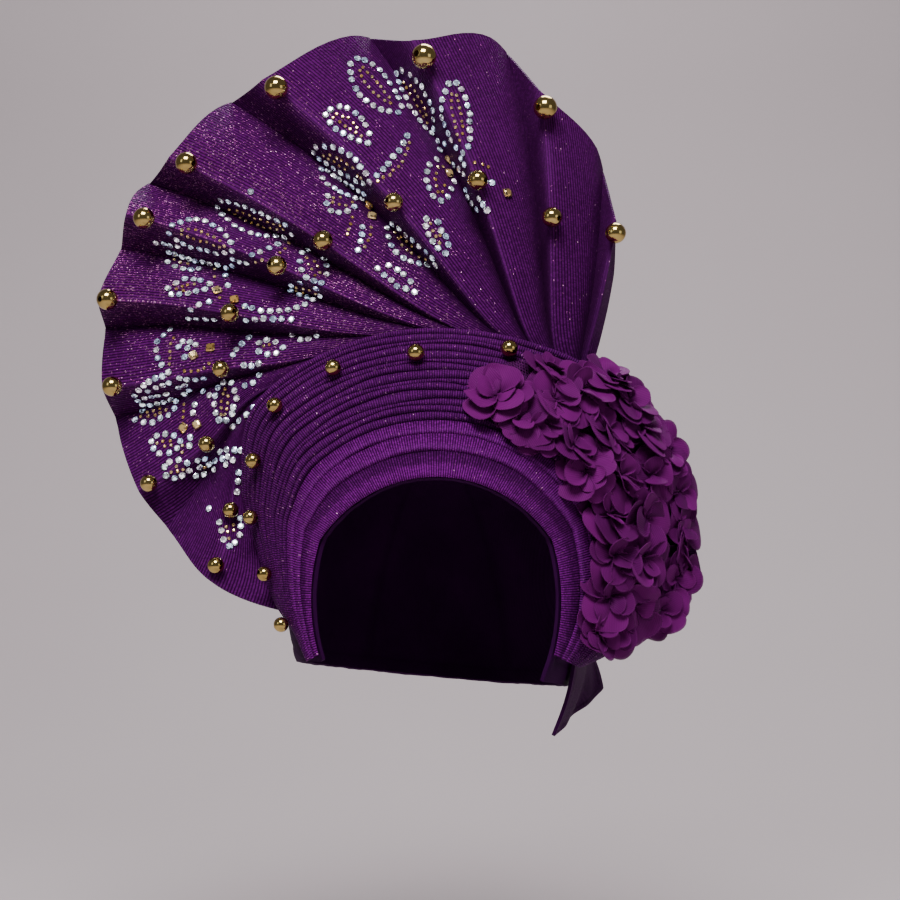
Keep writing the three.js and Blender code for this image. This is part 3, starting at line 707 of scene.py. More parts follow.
def wrap_sheet():
    """Fine folds round the opening, each a rounded pleat that rises steeply from the groove under it."""
    turns = np.linspace(-TURN_END, TURN_END, 300)[:, None]
    steps = np.array([0, 0.07, 0.18, 0.34, 0.52, 0.7, 0.85, 0.95])
    fold = np.repeat(np.arange(FOLD_COUNT), len(steps))
    place = np.tile(steps, FOLD_COUNT)
    fold = np.append(fold, FOLD_COUNT - 1)
    place = np.append(place, 1.0)
    a = np.radians(turns)

    def border(k):
        """Where fold k starts, as a share of the way out, moved a little by hand."""
        free = np.minimum(k, FOLD_COUNT - k).clip(0, 2) / 2
        wobble = wander((0.24, a * 3.1 + k * 1.9), (0.15, a * 7.3 + k * 4.1), (0.08, a * 17 + k * 2.7))
        return WRAP_START + (k + wobble * free) * FOLD_PITCH

    low, high = border(fold), border(fold + 1)
    share = low + (high - low) * place
    base, normal, length = wrap_base(turns + 0 * share, share)
    round_top = np.sin(np.pi * place ** 0.8) ** 0.62
    uneven = 1 + wander((0.16, a * 5.3 + fold * 2.3), (0.1, a * 13 + fold * 5.1))
    height = FOLD_CREST * length * round_top * uneven
    middle = base + normal * height[..., None]
    centre = wrap_base(turns + 0 * share, border(fold) * 0.5 + border(fold + 1) * 0.5)[0]
    u = lengths_down(centre) + fold * 0.61
    u_before = u.copy()
    starts = np.flatnonzero(place == 0)[1:]
    u_before[:, starts] = u[:, starts - 1]
    v = lengths_across(middle)
    # Painted shade in the groove at the foot of each fold, and painted highlight with wear along its crest
    groove = np.exp(-((np.minimum(place, (1 - place) * 1.8) * 4.2) ** 2)) + 0 * a
    crest = np.exp(-(((place - 0.5) * 3.5) ** 2)) * 0.45 + 0 * a
    return middle, np.stack([u, v], -1), np.stack([u_before, v], -1), groove, crest


middle, weave, weave_before, groove, crease = wrap_sheet()
wrap = cloth_wall(
    "wrap_sheet", middle, 1.2, wrap_cloth, weave, weave_before, 60,
    groove=groove, crease=crease, spangle=0 * groove + 0.45,
)
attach(wrap, "root")
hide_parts("pleated_wrap")


def band_sheet():
    """Three broad folds next to the opening. Each lies over the outer part of the fold before it."""
    turns = np.linspace(-TURN_END, TURN_END, 240)[:, None]
    a = np.radians(turns)
    rise = BAND_STEP / TOP_LENGTH
    marks, heights, folds = [], [], []
    start = 0.0
    places = np.array([0, 0.025, 0.07, 0.13, 0.22, 0.36, 0.52, 0.68, 0.83, 0.94, 0.985])
    lips = np.array([0.3, 0.8, 1.0, 1.0, 0.9, 0.74, 0.62, 0.55, 0.5, 0.4, 0.1])
    for number, width in enumerate((0.45, 0.31, 0.24)):
        marks.append(start + places * width)
        heights.append(lips * (0.6, 1.15, 1.15)[number])
        folds.append(np.full(len(places), number))
        start += width
    marks = np.append(np.concatenate(marks), 1.0)
    heights = np.append(np.concatenate(heights), 0.1)
    folds = np.append(np.concatenate(folds), 2)
    loose = wander((0.012, a * 4.1 + folds), (0.008, a * 9.7 + folds * 3))
    inner = np.minimum(marks, 1 - marks).clip(0, 0.12) / 0.12
    share = BAND_SHARE * (marks + loose * inner)
    base, normal, length = wrap_base(turns + 0 * share, share)
    middle = base + normal * (rise * length * heights)[..., None]
    centres = np.array([0.22, 0.6, 0.88])[folds] * BAND_SHARE
    centre = wrap_base(turns + 0 * share, centres + 0 * share)[0]
    u = lengths_down(centre) + folds * 0.43
    v = lengths_across(middle)
    # Painted shade in the line under each fold's lip, and painted highlight with wear along the lip
    groove = np.exp(-((heights / 0.46) ** 2)) * (marks > 0.2) + 0 * a
    crease = np.exp(-(((heights - 1.15) / 0.15) ** 2)) * 0.9 + 0 * a
    return middle, np.stack([u, v], -1), groove, crease


middle, weave, groove, crease = band_sheet()
band = cloth_wall(
    "band_sheet", middle, 1.3, band_cloth, weave, None, 60,
    groove=groove, crease=crease, spangle=0 * groove + 0.15,
)
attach(band, "root")
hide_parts("forehead_band")


# The tails


def tail_piece(name, node, middle):
    """A corner of the tied cloth that hangs free, with a narrow hem along its edges."""
    rows, columns = middle.shape[:2]
    down, across = np.linspace(0, 1, rows)[:, None], np.linspace(0, 1, columns)[None]
    rim = np.minimum(np.minimum(across, 1 - across) + 0 * down, 1 - down)
    hem = np.exp(-(((rim - 0.07) / 0.015) ** 2))
    weave = np.stack([lengths_across(middle), lengths_down(middle)], -1)
    wall = 1.2 + 0.5 * (rim < 0.07)
    edge = np.exp(-((rim / 0.03) ** 2)) * 0.5
    piece = cloth_wall(name, middle, wall, tail_cloth, weave, None, 60, groove=hem * 0.7, crease=edge)
    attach(piece, "root")
    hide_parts(node)
    return piece


across, down = np.meshgrid(np.linspace(0, 1, 34), np.linspace(0, 1, 40))
offset = CAP_OFFSET + SEAT_GAP + TAIL_WALL / 2
y = HEAD[1] * (-0.43 + 0.54 * across)
z = -0.2 * HEAD[2] - HEAD_CENTRE
x = (HEAD[0] + offset) * np.sqrt(1 - (y / (HEAD[1] + offset)) ** 2 - (z / (HEAD[2] + offset)) ** 2)
top = np.stack([x, y, np.full_like(y, z + HEAD_CENTRE)], -1)
front_tip, rear_tip = HEAD * (0.77, -0.38, -0.66), HEAD * (1.15, 0.04, -0.47)
tip = front_tip * (1 - across)[..., None] + rear_tip * across[..., None]
middle = top * (1 - down)[..., None] + tip * down[..., None]
middle[..., 0] += 1.5 * np.sin(np.pi * down) * (1 + np.sin(2 * np.pi * across)) + wander(
    (1.1 * down, across * 9 + 1), (0.5 * down, across * 17 + down * 4)
)
lower_tail = tail_piece("lower_tail_cloth", "lower_tail", middle)

out, across = np.meshgrid(np.linspace(0, 1, 34), np.linspace(0, 1, 34), indexing="ij")
turn = (74 + 19 * across) * (1 - out) + (77 + 12 * across) * out
gap = -FAN_TUCK * (1 - out) + FAN_REACH * (0.09 + 0.055 * across) * out
end = profile(turn)[2]
wave = 1.5 * out * np.sin(np.pi * across) + 0.6 * out * np.sin(across * 15)
middle = at_turn(turn, end[0] + gap, end[1] + BORDER_BACK + 0.5 * gap + wave)
upper_tail = tail_piece("upper_tail_cloth", "upper_tail", middle)


# The cap


def cap_sheet():
    """A close dome, open at the front and at the nape, with gore seams and a rolled hem."""
    rows, columns = 96, 160
    offset = CLEARANCE + CAP_WALL / 2
    size = HEAD + offset
    round_cap = np.linspace(0, 2 * np.pi, columns, endpoint=False)
    # Each line runs from the middle of the back of the dome forward to the opening's edge
    drop = (CAP_BOTTOM_FRONT - CAP_BOTTOM_BACK) / (2 * HEAD[1])
    bottom_middle = (CAP_BOTTOM_FRONT + CAP_BOTTOM_BACK) / 2
    pole = np.array([0.0, 0.62, 0.78])
    pole /= np.linalg.norm(pole)
    side = np.array([1.0, 0, 0])
    third = np.cross(pole, side)
    grid = np.empty((rows, columns, 3))
    for c, angle in enumerate(round_cap):
        lean = side * np.cos(angle) + third * np.sin(angle)
        bends = np.linspace(0.001, np.pi, 700)
        line = (pole * np.cos(bends)[:, None] + lean * np.sin(bends)[:, None]) * size
        line[:, 2] += HEAD_CENTRE
        height = line[:, 2] - HEAD_CENTRE
        brow = BROW_DEPTH + BROW_TILT * height
        cheek = CHEEK_DEPTH + CHEEK_TILT * height
        inside_face = line[:, 1] > 0.8 - np.maximum(brow, cheek)
        # The bottom drops from the front to the nape, and from -X to +X
        inside_bottom = line[:, 2] > bottom_middle - drop * line[:, 1] - CAP_BOTTOM_LEAN * line[:, 0]
        outside = np.flatnonzero(~(inside_face & inside_bottom))
        last = bends[outside[0] - 1] if len(outside) else bends[-1]
        own = last * np.linspace(0.004, 1, rows) ** 0.95
        grid[:, c] = (pole * np.cos(own)[:, None] + lean * np.sin(own)[:, None]) * size
    grid[..., 2] += HEAD_CENTRE
    return grid, round_cap


def cap_piece():
    grid, round_cap = cap_sheet()
    rows, columns = grid.shape[:2]
    closed = np.concatenate([grid[:, -1:], grid, grid[:, :1]], axis=1)
    normal = normals_of(closed)[:, 1:-1]
    if (normal * (grid - np.array([0, 0, HEAD_CENTRE]))).sum() < 0:
        normal = -normal
    down = np.linspace(0, 1, rows)[:, None]
    gore = (round_cap * 6 / (2 * np.pi)) % 1
    seam = np.exp(-((np.minimum(gore, 1 - gore) * 34) ** 2))[None] * (down < 0.95)
    hem = 0.4 * np.exp(-(((down - 0.975) / 0.02) ** 2))
    stitch = np.exp(-(((down - 0.945) / 0.006) ** 2))
    puff = wander((0.22, round_cap[None] * 9 + down * 4), (0.16, round_cap[None] * 17 - down * 11))
    outer = grid + normal * (0.85 + hem - 0.5 * seam - 0.35 * stitch + puff * (1 - seam) * 0.8)[..., None]
    inner = grid - normal * (0.75 + hem * 0.5 - 0.2 * seam)[..., None]
    points = np.concatenate([outer.reshape(-1, 3), inner.reshape(-1, 3)])
    count = rows * columns
    points = np.concatenate([points, [outer[0].mean(0)], [inner[0].mean(0)]])
    faces = []
    for j in range(columns):
        k = (j + 1) % columns
        for i in range(rows - 1):
            a, b, c, d = i * columns + j, i * columns + k, (i + 1) * columns + k, (i + 1) * columns + j
            faces.append((a, b, c, d))
            faces.append((count + a, count + d, count + c, count + b))
        last = (rows - 1) * columns
        faces.append((last + j, last + k, count + last + k, count + last + j))
        faces.append((2 * count, k, j))
        faces.append((2 * count + 1, count + j, count + k))
    piece = new_piece("cap_dome", points, faces, cap_lining, 60)
    groove = np.maximum(seam, 0.8 * stitch)
    paint(piece, "groove", np.concatenate([groove.ravel(), 0.5 * groove.ravel(), [0, 0]]))
    centre = grid.mean(axis=(0, 1))
    flat = points[corner_points(piece)] - centre
    map_weave(piece, np.stack([flat[:, 0] + flat[:, 1] * 0.35, flat[:, 2] + flat[:, 1] * 0.55], -1))
    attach(piece, "root")
    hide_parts("cap")
    return piece


cap = cap_piece()


# The gilt beads


def bead_model():
    """A ball with a thread hole through it, whose rims are a little flattened."""
    bpy.ops.mesh.primitive_uv_sphere_add(segments=40, ring_count=24, radius=1)
    bead = bpy.context.active_object
    bpy.ops.object.mode_set(mode="EDIT")
    work = bmesh.from_edit_mesh(bead.data)
    for vert in work.verts:
        vert.select_set(abs(vert.co.z) > 0.985)
    work.select_flush_mode()
    bpy.ops.mesh.delete(type="VERT")
    bpy.ops.mesh.select_all(action="DESELECT")
    bpy.ops.mesh.select_mode(type="EDGE")
    bpy.ops.mesh.select_non_manifold()
    bpy.ops.mesh.bridge_edge_loops()
    bpy.ops.mesh.select_all(action="SELECT")
    bpy.ops.mesh.normals_make_consistent(inside=False)
    bpy.ops.object.mode_set(mode="OBJECT")
    soften(bead, 40)
    place = np.empty(len(bead.data.vertices) * 3)
    bead.data.vertices.foreach_get("co", place)
    paint(bead, "edge", np.clip((np.abs(place[2::3]) - 0.93) / 0.05, 0, 1))
    bead.data.materials.append(gilt_finish)
    return bead


def from_node(node):
    """The middle and the half sizes of a solid, in millimetres."""
    low, high = (np.array(corner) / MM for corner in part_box(node))
    return (low + high) / 2, (high - low) / 2


def node_names(prefix):
    return sorted(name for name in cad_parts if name.startswith(prefix))


rng = np.random.default_rng(11)
bead = bead_model()
for node in node_names("rim_bead") + node_names("mid_bead") + node_names("border_bead"):
    middle, half = from_node(node)
    copy = bead.copy()
    copy.data = bead.data.copy()
    copy.name = node.replace("bead", "ball")
    bpy.context.scene.collection.objects.link(copy)
    # The thread hole lies across the fold, turned a little differently in each bead
    turned = Matrix.Rotation(np.pi / 2 + rng.normal(0, 0.2), 4, "Y")
    turned = turned @ Matrix.Rotation(rng.uniform(0, 6), 4, "Z")
    turned = Matrix.Rotation(rng.uniform(-1, 1), 4, "Z") @ turned
    size = Matrix.Scale(half.max() * 1.01 * MM, 4)
    copy.data.transform(Matrix.Translation(Vector(middle) * MM) @ turned @ size)
    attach(copy, "root")
    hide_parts(node)
bpy.data.objects.remove(bead)


# The cut stones


def surface_of(piece):
    """A tree to cast rays on a piece."""
    return BVHTree.FromPolygons(
        [v.co for v in piece.data.vertices], [p.vertices for p in piece.data.polygons], epsilon=0.0,
    )


def seen_at(tree, place):
    """Where the camera's ray through a place in the photo, in its pixels, meets a surface."""
    across, down = place
    aim = Vector(((across - PICTURE / 2) * PIXEL, 1, -(down - PICTURE / 2) * PIXEL)).normalized()
    hit, normal, _, _ = tree.ray_cast(camera.location, aim)
    if hit is not None and normal.dot(aim) > 0:
        normal = -normal
    return hit, normal


def in_photo(point):
    """The pixel of the photo at which the camera sees a point given in millimetres."""
    depth = point[1] - CAMERA[1]
    return np.array([
        PICTURE / 2 + (point[0] - CAMERA[0]) / depth / PIXEL,
        PICTURE / 2 - (point[2] - CAMERA[2]) / depth / PIXEL,
    ])


def stone_model(corners, squareness):
    """A cut stone of unit radius and height: a back, a girdle and crown facets round a table."""
    turn = np.arange(corners) * 2 * np.pi / corners + np.pi / corners
    flat = np.stack([np.cos(turn), np.sin(turn)], -1)
    bulge = (np.abs(flat) ** squareness).sum(1) ** (-1 / squareness)
    flat = flat * bulge[:, None]
    half_step = (flat + np.roll(flat, -1, 0)) / 2
    rings = [(flat, 0.9, 0.0), (flat, 1.0, 0.25), (flat, 1.0, 0.4)]
    rings += [(half_step, 0.84, 0.75), (half_step, 0.55, 1.0)]
    points = np.concatenate([np.column_stack([r * k, np.full(corners, z)]) for r, k, z in rings])
    faces = [list(range(corners))[::-1], list(range(4 * corners, 5 * corners))]
    for k in range(corners):
        n = (k + 1) % corners
        faces.append([k, n, corners + n, corners + k])
        faces.append([corners + k, corners + n, 2 * corners + n, 2 * corners + k])
        faces.append([2 * corners + k, 2 * corners + n, 3 * corners + k])
        faces.append([3 * corners + k, 2 * corners + n, 3 * corners + n])
        faces.append([3 * corners + k, 3 * corners + n, 4 * corners + n, 4 * corners + k])
    return points, faces


def stones_piece(name, model, places, material, seed):
    """Stones of one kind as one piece: each with its own hue, and each facet with its own tone of painted
    reflection. The rim stays even, so that the stone reads round, and the crown sparkles with painted glints."""
    shape, faces = model
    corners = (len(faces) - 2) // 5
    # Painted reflections: the range of each facet's tone, for the back, the table and each ring of facets
    low = np.array([0.4, 0.45] + corners * [0.4, 0.45, 0.32, 0.1, 0.0])
    high = np.array([0.6, 1.0] + corners * [0.6, 0.65, 0.8, 1.0, 1.0])
    chance = np.random.default_rng(seed)
    points, all_faces, hues, painted_facet_tones = [], [], [], []
    for number, (spot, normal, radius, height) in enumerate(places):
        normal = Vector(normal) + Vector(chance.normal(0, 0.06, 3))
        turned = normal.to_track_quat("Z", "Y").to_matrix() @ Matrix.Rotation(chance.uniform(0, 6.3), 3, "Z")
        own = (shape * (radius, radius, height)) @ np.array(turned).T + np.array(spot)
        points.append(own)
        all_faces += [[number * len(shape) + k for k in face] for face in faces]
        hues.append(np.full(len(shape), chance.uniform()))
        painted_facet_tones.append(chance.uniform(low, high))
    piece = new_piece(name, np.concatenate(points), all_faces, material, 1)
    paint(piece, "hue", np.concatenate(hues))
    layer = piece.data.attributes.new("facet", "FLOAT", "FACE")
    layer.data.foreach_set("value", np.concatenate(painted_facet_tones).astype(np.float32))
    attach(piece, "root")
    return piece


fan_tree = surface_of(fan)

# Motifs sewn to the fan. Columns: kind, start across and down, stop across and down, width and bend, all in
# the photo's pixels. A leaf has crystals round it and amber in it, a fringe has crystals on one side and
# amber on the other, a patch is filled with crystals, and a row or an amber row is a single line.
MOTIFS = [
    ("leaf", 353, 60, 400, 112, 31, 3), ("leaf", 399, 70, 433, 134, 21, -3),
    ("leaf", 327, 111, 369, 141, 25, -3), ("leaf", 313, 148, 370, 184, 19, -4),
    ("patch", 317, 170, 373, 200, 12, 3), ("leaf", 452, 82, 465, 153, 26, 2),
    ("fringe", 409, 133, 368, 184, 9, -8), ("leaf", 440, 158, 440, 201, 28, 0),
    ("patch", 434, 141, 468, 176, 11, -3), ("amber", 464, 163, 492, 169, 0, -2),
    ("leaf", 428, 215, 450, 256, 14, 2), ("leaf", 388, 224, 437, 264, 21, 7),
    ("leaf", 326, 200, 356, 203, 25, 0), ("fringe", 368, 207, 358, 254, 9, -4),
    ("leaf", 376, 265, 417, 294, 12, -2), ("patch", 467, 186, 488, 214, 9, 2),
    ("row", 492, 181, 493, 183, 0, 0), ("row", 250, 191, 252, 192, 0, 0),
    ("leaf", 217, 202, 296, 232, 23, 6), ("leaf", 170, 229, 234, 250, 27, -4),
    ("patch", 153, 243, 250, 264, 9, 3), ("leaf", 166, 258, 211, 262, 15, 3),
    ("leaf", 168, 292, 210, 285, 15, -2), ("row", 187, 313, 214, 302, 0, -3),
    ("row", 226, 262, 233, 299, 0, 3), ("row", 240, 305, 324, 293, 0, 12),
    ("amber", 214, 266, 221, 301, 0, 2), ("fringe", 290, 241, 240, 261, 9, -4),
    ("leaf", 305, 251, 322, 283, 25, 0), ("leaf", 289, 288, 323, 297, 14, -2),
    ("row", 184, 318, 219, 319, 0, 0), ("row", 242, 319, 295, 320, 0, 0),
    ("patch", 178, 350, 197, 348, 16, 0), ("leaf", 257, 348, 283, 348, 15, 0),
    ("row", 252, 336, 230, 360, 0, 2), ("row", 240, 366, 262, 363, 0, 1),
    ("row", 289, 333, 320, 333, 0, 7), ("fringe", 174, 329, 172, 374, 14, 10),
    ("row", 176, 376, 208, 377, 0, 3), ("amber", 182, 370, 212, 361, 0, 5),
    ("patch", 134, 399, 200, 376, 25, 0), ("leaf", 132, 418, 178, 402, 15, 4),
    ("leaf", 151, 446, 181, 441, 20, 0), ("leaf", 164, 472, 190, 466, 18, 0),
    ("row", 196, 400, 190, 450, 0, 2), ("amber", 187, 388, 183, 455, 0, 2),
    ("leaf", 228, 381, 222, 423, 21, 0), ("row", 232, 384, 261, 372, 0, 7),
    ("row", 229, 430, 256, 404, 0, 1), ("patch", 198, 464, 238, 452, 17, 2),
    ("leaf", 193, 472, 213, 461, 15, 0), ("leaf", 226, 504, 231, 547, 22, -2),
    ("row", 240, 468, 237, 505, 0, 1), ("row", 207, 508, 209, 509, 0, 0),
    ("row", 238, 452, 250, 446, 0, 0), ("row", 200, 392, 212, 398, 0, -2),
    ("amber", 346, 238, 352, 215, 0, 1),
]
CRYSTAL_STEP = 8.6
AMBER_STEP = 6.6
PATCH_STEP = 7.2
# A crystal and an amber stone: the pixels that each keeps free, its radius and its height
STONE_REACH = (2.9, 1.9)
STONE_RADIUS = (1.68, 0.9)
STONE_HEIGHT = (1.0, 0.7)


def spread(line, step):
    """Evenly spaced places along a line, a step apart."""
    run = np.concatenate([[0], np.cumsum(np.linalg.norm(np.diff(line, axis=0), axis=1))])
    count = max(int(round(run[-1] / step)), 1)
    keys = (np.arange(count) + 0.5) * run[-1] / count
    return np.stack([np.interp(keys, run, line[:, k]) for k in (0, 1)], -1)


def motif_places(kind, x0, y0, x1, y1, width, bend):
    """The places of a motif's crystals and of its amber stones."""
    start, stop = np.array([x0, y0], float), np.array([x1, y1], float)
    way = stop - start
    side = np.array([-way[1], way[0]]) / np.linalg.norm(way)
    t = np.linspace(0, 1, 60)[:, None]
    spine = start + way * t + side * bend * 4 * t * (1 - t)
    swell = side * width / 2 * np.sin(np.pi * t**0.85) ** 0.6
    none = np.empty((0, 2))
    if kind == "leaf":
        round_leaf = np.concatenate([spine + swell, (spine - swell)[::-1]])
        inner = np.concatenate([spine + swell * 0.42, (spine - swell * 0.42)[::-1]])
        inner = start + way * 0.5 + (inner - start - way * 0.5) * 0.72
        return spread(round_leaf, CRYSTAL_STEP), spread(inner, AMBER_STEP) if width > 13 else none
    if kind == "fringe":
        return spread(spine + swell, CRYSTAL_STEP), spread(spine - swell, AMBER_STEP)
    if kind == "patch":
        lines = np.linspace(-1, 1, max(int(width / 6.5) + 1, 2))
        return np.concatenate([spread(spine + swell * k, PATCH_STEP) for k in lines]), none
    if kind == "amber":
        return none, spread(spine, AMBER_STEP)
    return spread(spine, CRYSTAL_STEP), none


# Places in the photo that are taken, each with the pixels that a round stone keeps from its middle
FAN_PIXEL = 0.47
taken = [
    (in_photo(from_node(node)[0]), 1.1 * from_node(node)[1].max() / FAN_PIXEL)
    for node in node_names("rim_bead") + node_names("mid_bead")
]
taken += [(in_photo(from_node(node)[0]), 5.0) for node in node_names("square_stone")]
crystals, ambers = [], []
for motif in MOTIFS:
    for kind, places in enumerate(motif_places(*motif)):
        reach = STONE_REACH[kind]
        for place in places:
            place = place + rng.normal(0, 0.45, 2)
            if any(np.hypot(*(place - spot)) < apart + reach for spot, apart in taken):
                continue
            hit, normal = seen_at(fan_tree, place)
            if hit is None:
                continue
            taken.append((place, reach))
            seat = Vector(hit) / MM + normal * 0.1
            radius = STONE_RADIUS[kind] * rng.uniform(0.93, 1.05)
            (crystals, ambers)[kind].append((seat, normal, radius, STONE_HEIGHT[kind]))
round_crystals = stones_piece("round_crystals", stone_model(8, 2), crystals, crystal, 3)
round_ambers = stones_piece("round_ambers", stone_model(8, 2), ambers, amber_glass, 4)

for number, node in enumerate(node_names("square_stone")):
    hit, normal = seen_at(fan_tree, in_photo(from_node(node)[0]))
    seat = Vector(hit) / MM + normal * 0.25
    name = node.replace("stone", "gem")
    gem = stones_piece(name, stone_model(12, 6), [(seat, normal, 2.2, 1.8)], amber_glass, 20 + number)
    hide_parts(node)


# The flower spray


def net_sheet():
    """The net that the flowers are sewn to, lying on the wrap's folds, with a wandering cut edge."""
    turns = np.linspace(NET_STATIONS[0, 0], NET_STATIONS[-1, 0], 90)[:, None]
    places = np.linspace(0, 1, 40)[None]
    a = np.radians(turns)
    low = along(NET_STATIONS, 1, turns) + wander((0.012, a * 23), (0.008, a * 51))
    high = along(NET_STATIONS, 2, turns) + wander((0.014, a * 19 + 2), (0.01, a * 43))
    share = low + (high - low) * places
    base, normal, length = wrap_base(turns + 0 * share, share)
    waves = wander((0.35, a * 27 + share * 19), (0.25, a * 41 - share * 33))
    lift = FOLD_CREST * length + WRAP_WALL / 2 + 0.9 + waves
    return base + normal * lift[..., None], normal


net_middle, net_normal = net_sheet()
weave = np.stack([lengths_across(net_middle), lengths_down(net_middle)], -1)
net_piece = cloth_wall("net_sheet", net_middle, 0.35, net_cloth, weave)
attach(net_piece, "root")
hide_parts("flower_spray")

PETAL_ROWS = 11
PETAL_COLUMNS = 17
PETAL_SPREAD = np.radians(60)


def petal_grid(chance, length):
    """One petal that grows along +X from its narrow root: broad, cupped, and ruffled at its cut rim."""
    r = np.linspace(0.07, 1, PETAL_ROWS)[:, None]
    u = np.linspace(-0.985, 0.985, PETAL_COLUMNS)[None]
    bend = chance.uniform(-0.3, 0.3)
    spread = PETAL_SPREAD * chance.uniform(0.8, 1.12)
    rim = (1 - np.abs(u) ** 2.7) ** 0.5 * (1 + 0.05 * np.sin(u * 5 + chance.uniform(0, 6)))
    angle = spread * u + bend * r * 0.4
    x, y = length * r * rim * np.cos(angle), length * r * rim * np.sin(angle)
    cup = chance.uniform(-0.1, 0.2)
    ruffle = chance.uniform(0.008, 0.035) * np.sin(u * chance.uniform(3, 7) + chance.uniform(0, 6))
    curl = chance.uniform(-0.2, 0.14)
    rise = cup * u**2 * r**1.4 + ruffle * r**2.5 + curl * (r * rim) ** 3 + 0.05 * np.sin(u * 3 + r * 4)
    z = length * rise
    return np.stack([x, y, z], -1), r + 0 * u, u + 0 * r


def flower(name, seat, normal, radius, chance):
    """A flower of cut chiffon petals in layers, each layer smaller and more upright."""
    layers = [(5, 1.0, 4, 16, 0.8), (4, 0.84, 10, 30, 1.8), (2, 0.62, 24, 52, 2.7)]
    facing = Vector(normal).to_track_quat("Z", "Y").to_matrix()
    facing = np.array(facing @ Matrix.Rotation(chance.uniform(0, 6.3), 3, "Z"))
    points, faces, edges, hearts, shades, weaves = [], [], [], [], [], []
    count = 0
    for petals, share, low, high, lift in layers:
        first = chance.uniform(0, 6.3)
        for k in range(petals):
            grid, r, u = petal_grid(chance, radius * share * chance.uniform(0.85, 1.1))
            normal_grid = normals_of(grid)
            walls = np.concatenate([grid + 0.16 * normal_grid, grid - 0.16 * normal_grid])
            tilt = np.radians(chance.uniform(low, high))
            turned = Matrix.Rotation(first + 6.283 * k / petals + chance.normal(0, 0.16), 3, "Z")
            turned = turned @ Matrix.Rotation(-tilt, 3, "Y") @ Matrix.Rotation(chance.normal(0, 0.2), 3, "X")
            own = walls.reshape(-1, 3) @ np.array(turned).T
            own[:, 2] += lift + 0.12 * k
            points.append(own @ facing.T + np.array(seat))
            faces += [[count + c for c in face] for face in grid_faces(PETAL_ROWS, PETAL_COLUMNS)]
            count += len(own)
            rim = np.maximum((r - 0.9) / 0.1, (np.abs(u) - 0.86) / 0.12).clip(0, 1)
            edges.append(np.tile(rim.ravel(), 2))
            # Painted shade towards the flower's heart
            hearts.append(np.tile(np.exp(-((r / 0.38) ** 2)).ravel(), 2))
            shades.append(np.full(len(own), chance.uniform(0, 1)))
            place = np.stack([grid[..., 1], grid[..., 0]], -1).reshape(-1, 2)
            weaves.append(np.tile(place, (2, 1)))
    piece = new_piece(name, np.concatenate(points), faces, petal_cloth, 70)
    paint(piece, "edge", np.concatenate(edges))
    paint(piece, "heart", np.concatenate(hearts))
    paint(piece, "shade", np.concatenate(shades))
    map_weave(piece, np.concatenate(weaves)[corner_points(piece)])
    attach(piece, "root")
    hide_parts("flower_spray")
    cloth_area = 0.5 * sum(face.area for face in piece.data.polygons)
    return piece, cloth_area


# The middle of each flower, across and down in the photo's pixels, and its radius in millimetres
FLOWERS = [
    (495, 403, 18), (514, 424, 15), (548, 374, 15), (553, 404, 19), (580, 392, 18), (607, 378, 16),
    (624, 404, 17), (536, 438, 15), (568, 446, 15), (604, 434, 18), (640, 432, 17), (664, 456, 16),
    (584, 474, 16), (616, 474, 17), (646, 474, 17), (676, 492, 16), (606, 518, 17), (640, 516, 18),
    (676, 526, 17), (698, 552, 15), (602, 560, 17), (636, 562, 19), (672, 580, 18), (598, 600, 16),
    (630, 604, 18), (658, 610, 15), (586, 628, 14), (612, 630, 14),
]
net_seen = np.array([in_photo(point) for point in net_middle.reshape(-1, 3)])
flowers = []
for number, (across, down, radius) in enumerate(FLOWERS):
    chance = np.random.default_rng(100 + number)
    nearest = np.hypot(*(net_seen - (across, down)).T).argmin()
    lean = net_normal.reshape(-1, 3)[nearest] + chance.normal(0, 0.22, 3)
    flowers.append(flower(f"flower_{number + 1}", net_middle.reshape(-1, 3)[nearest], lean, radius, chance))


# The room


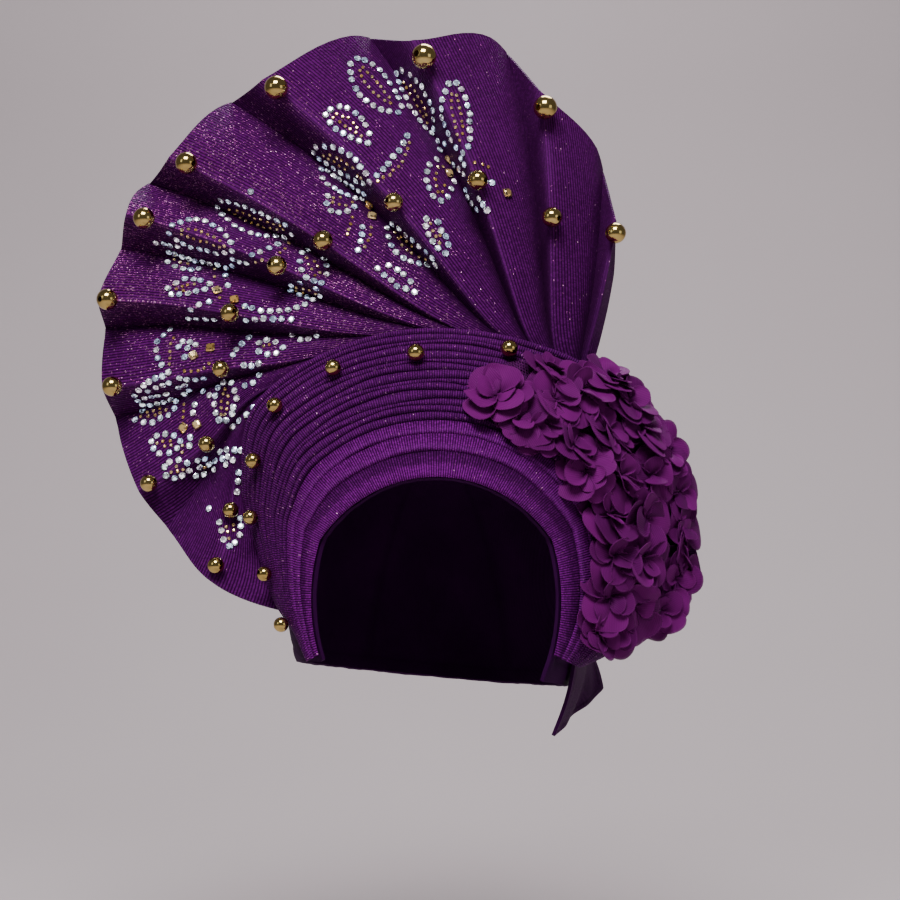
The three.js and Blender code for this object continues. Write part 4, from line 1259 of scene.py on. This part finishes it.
def area_light(name, place, target, size, power, colour=(1, 1, 1)):
    data = bpy.data.lights.new(name, "AREA")
    data.energy = power
    data.color = colour
    data.shape = "RECTANGLE"
    data.size, data.size_y = size
    light = bpy.data.objects.new(name, data)
    light.location = place
    light.rotation_euler = (Vector(target) - Vector(place)).to_track_quat("-Z", "Y").to_euler()
    bpy.context.scene.collection.objects.link(light)


area_light("key", (-0.15, -1.0, 1.3), (0, 0, 0.12), (0.8, 0.6), 38)
area_light("window", (-1.1, -0.9, 0.6), (0, 0, 0.1), (0.4, 0.6), 1.2, (0.92, 0.95, 1.0))
area_light("fill", (1.1, -0.9, 0.3), (0, 0, 0.05), (0.6, 0.6), 1.2)
area_light("top", (0.2, 0.75, 1.25), (0, 0, 0.1), (0.8, 0.6), 16)

world = bpy.data.worlds.new("room")
world.use_nodes = True
world.node_tree.nodes["Background"].inputs[0].default_value = (0.9, 0.86, 0.9, 1)
world.node_tree.nodes["Background"].inputs[1].default_value = 0.13
bpy.context.scene.world = world

# A pale floor that curves up behind the tie
bpy.ops.mesh.primitive_plane_add(size=1, location=(0, 0, 0))
floor = bpy.context.active_object
floor.name = "floor"
bpy.ops.object.mode_set(mode="EDIT")
bpy.ops.mesh.delete(type="VERT")
bpy.ops.object.mode_set(mode="OBJECT")
floor_height, bend_start, bend_radius = -0.22, 0.6, 0.7
sweep = [(-2.5, floor_height), (bend_start, floor_height)]
for a in np.linspace(0.06, np.pi / 2, 24):
    sweep.append((bend_start + bend_radius * np.sin(a), floor_height + bend_radius * (1 - np.cos(a))))
sweep.append((bend_start + bend_radius, 3.0))
points = [(x, y, z) for y, z in sweep for x in (-3.0, 3.0)]
faces = [(2 * i, 2 * i + 1, 2 * i + 3, 2 * i + 2) for i in range(len(sweep) - 1)]
floor.data.from_pydata(points, [], faces)
backdrop = Shader("backdrop", Roughness=0.9)
tone = backdrop.noise(3, 2)
backdrop.set("Base Color", backdrop.blend(tone, (0.46, 0.4, 0.42), (0.5, 0.44, 0.46)))
floor.data.materials.append(backdrop.material)
soften(floor, 40)

net_area = 0.5 * sum(face.area for face in net_piece.data.polygons)
net_area / 0.15 / 0.8
for piece, cloth_area in flowers:
    width = (cloth_area / 0.75) ** 0.5
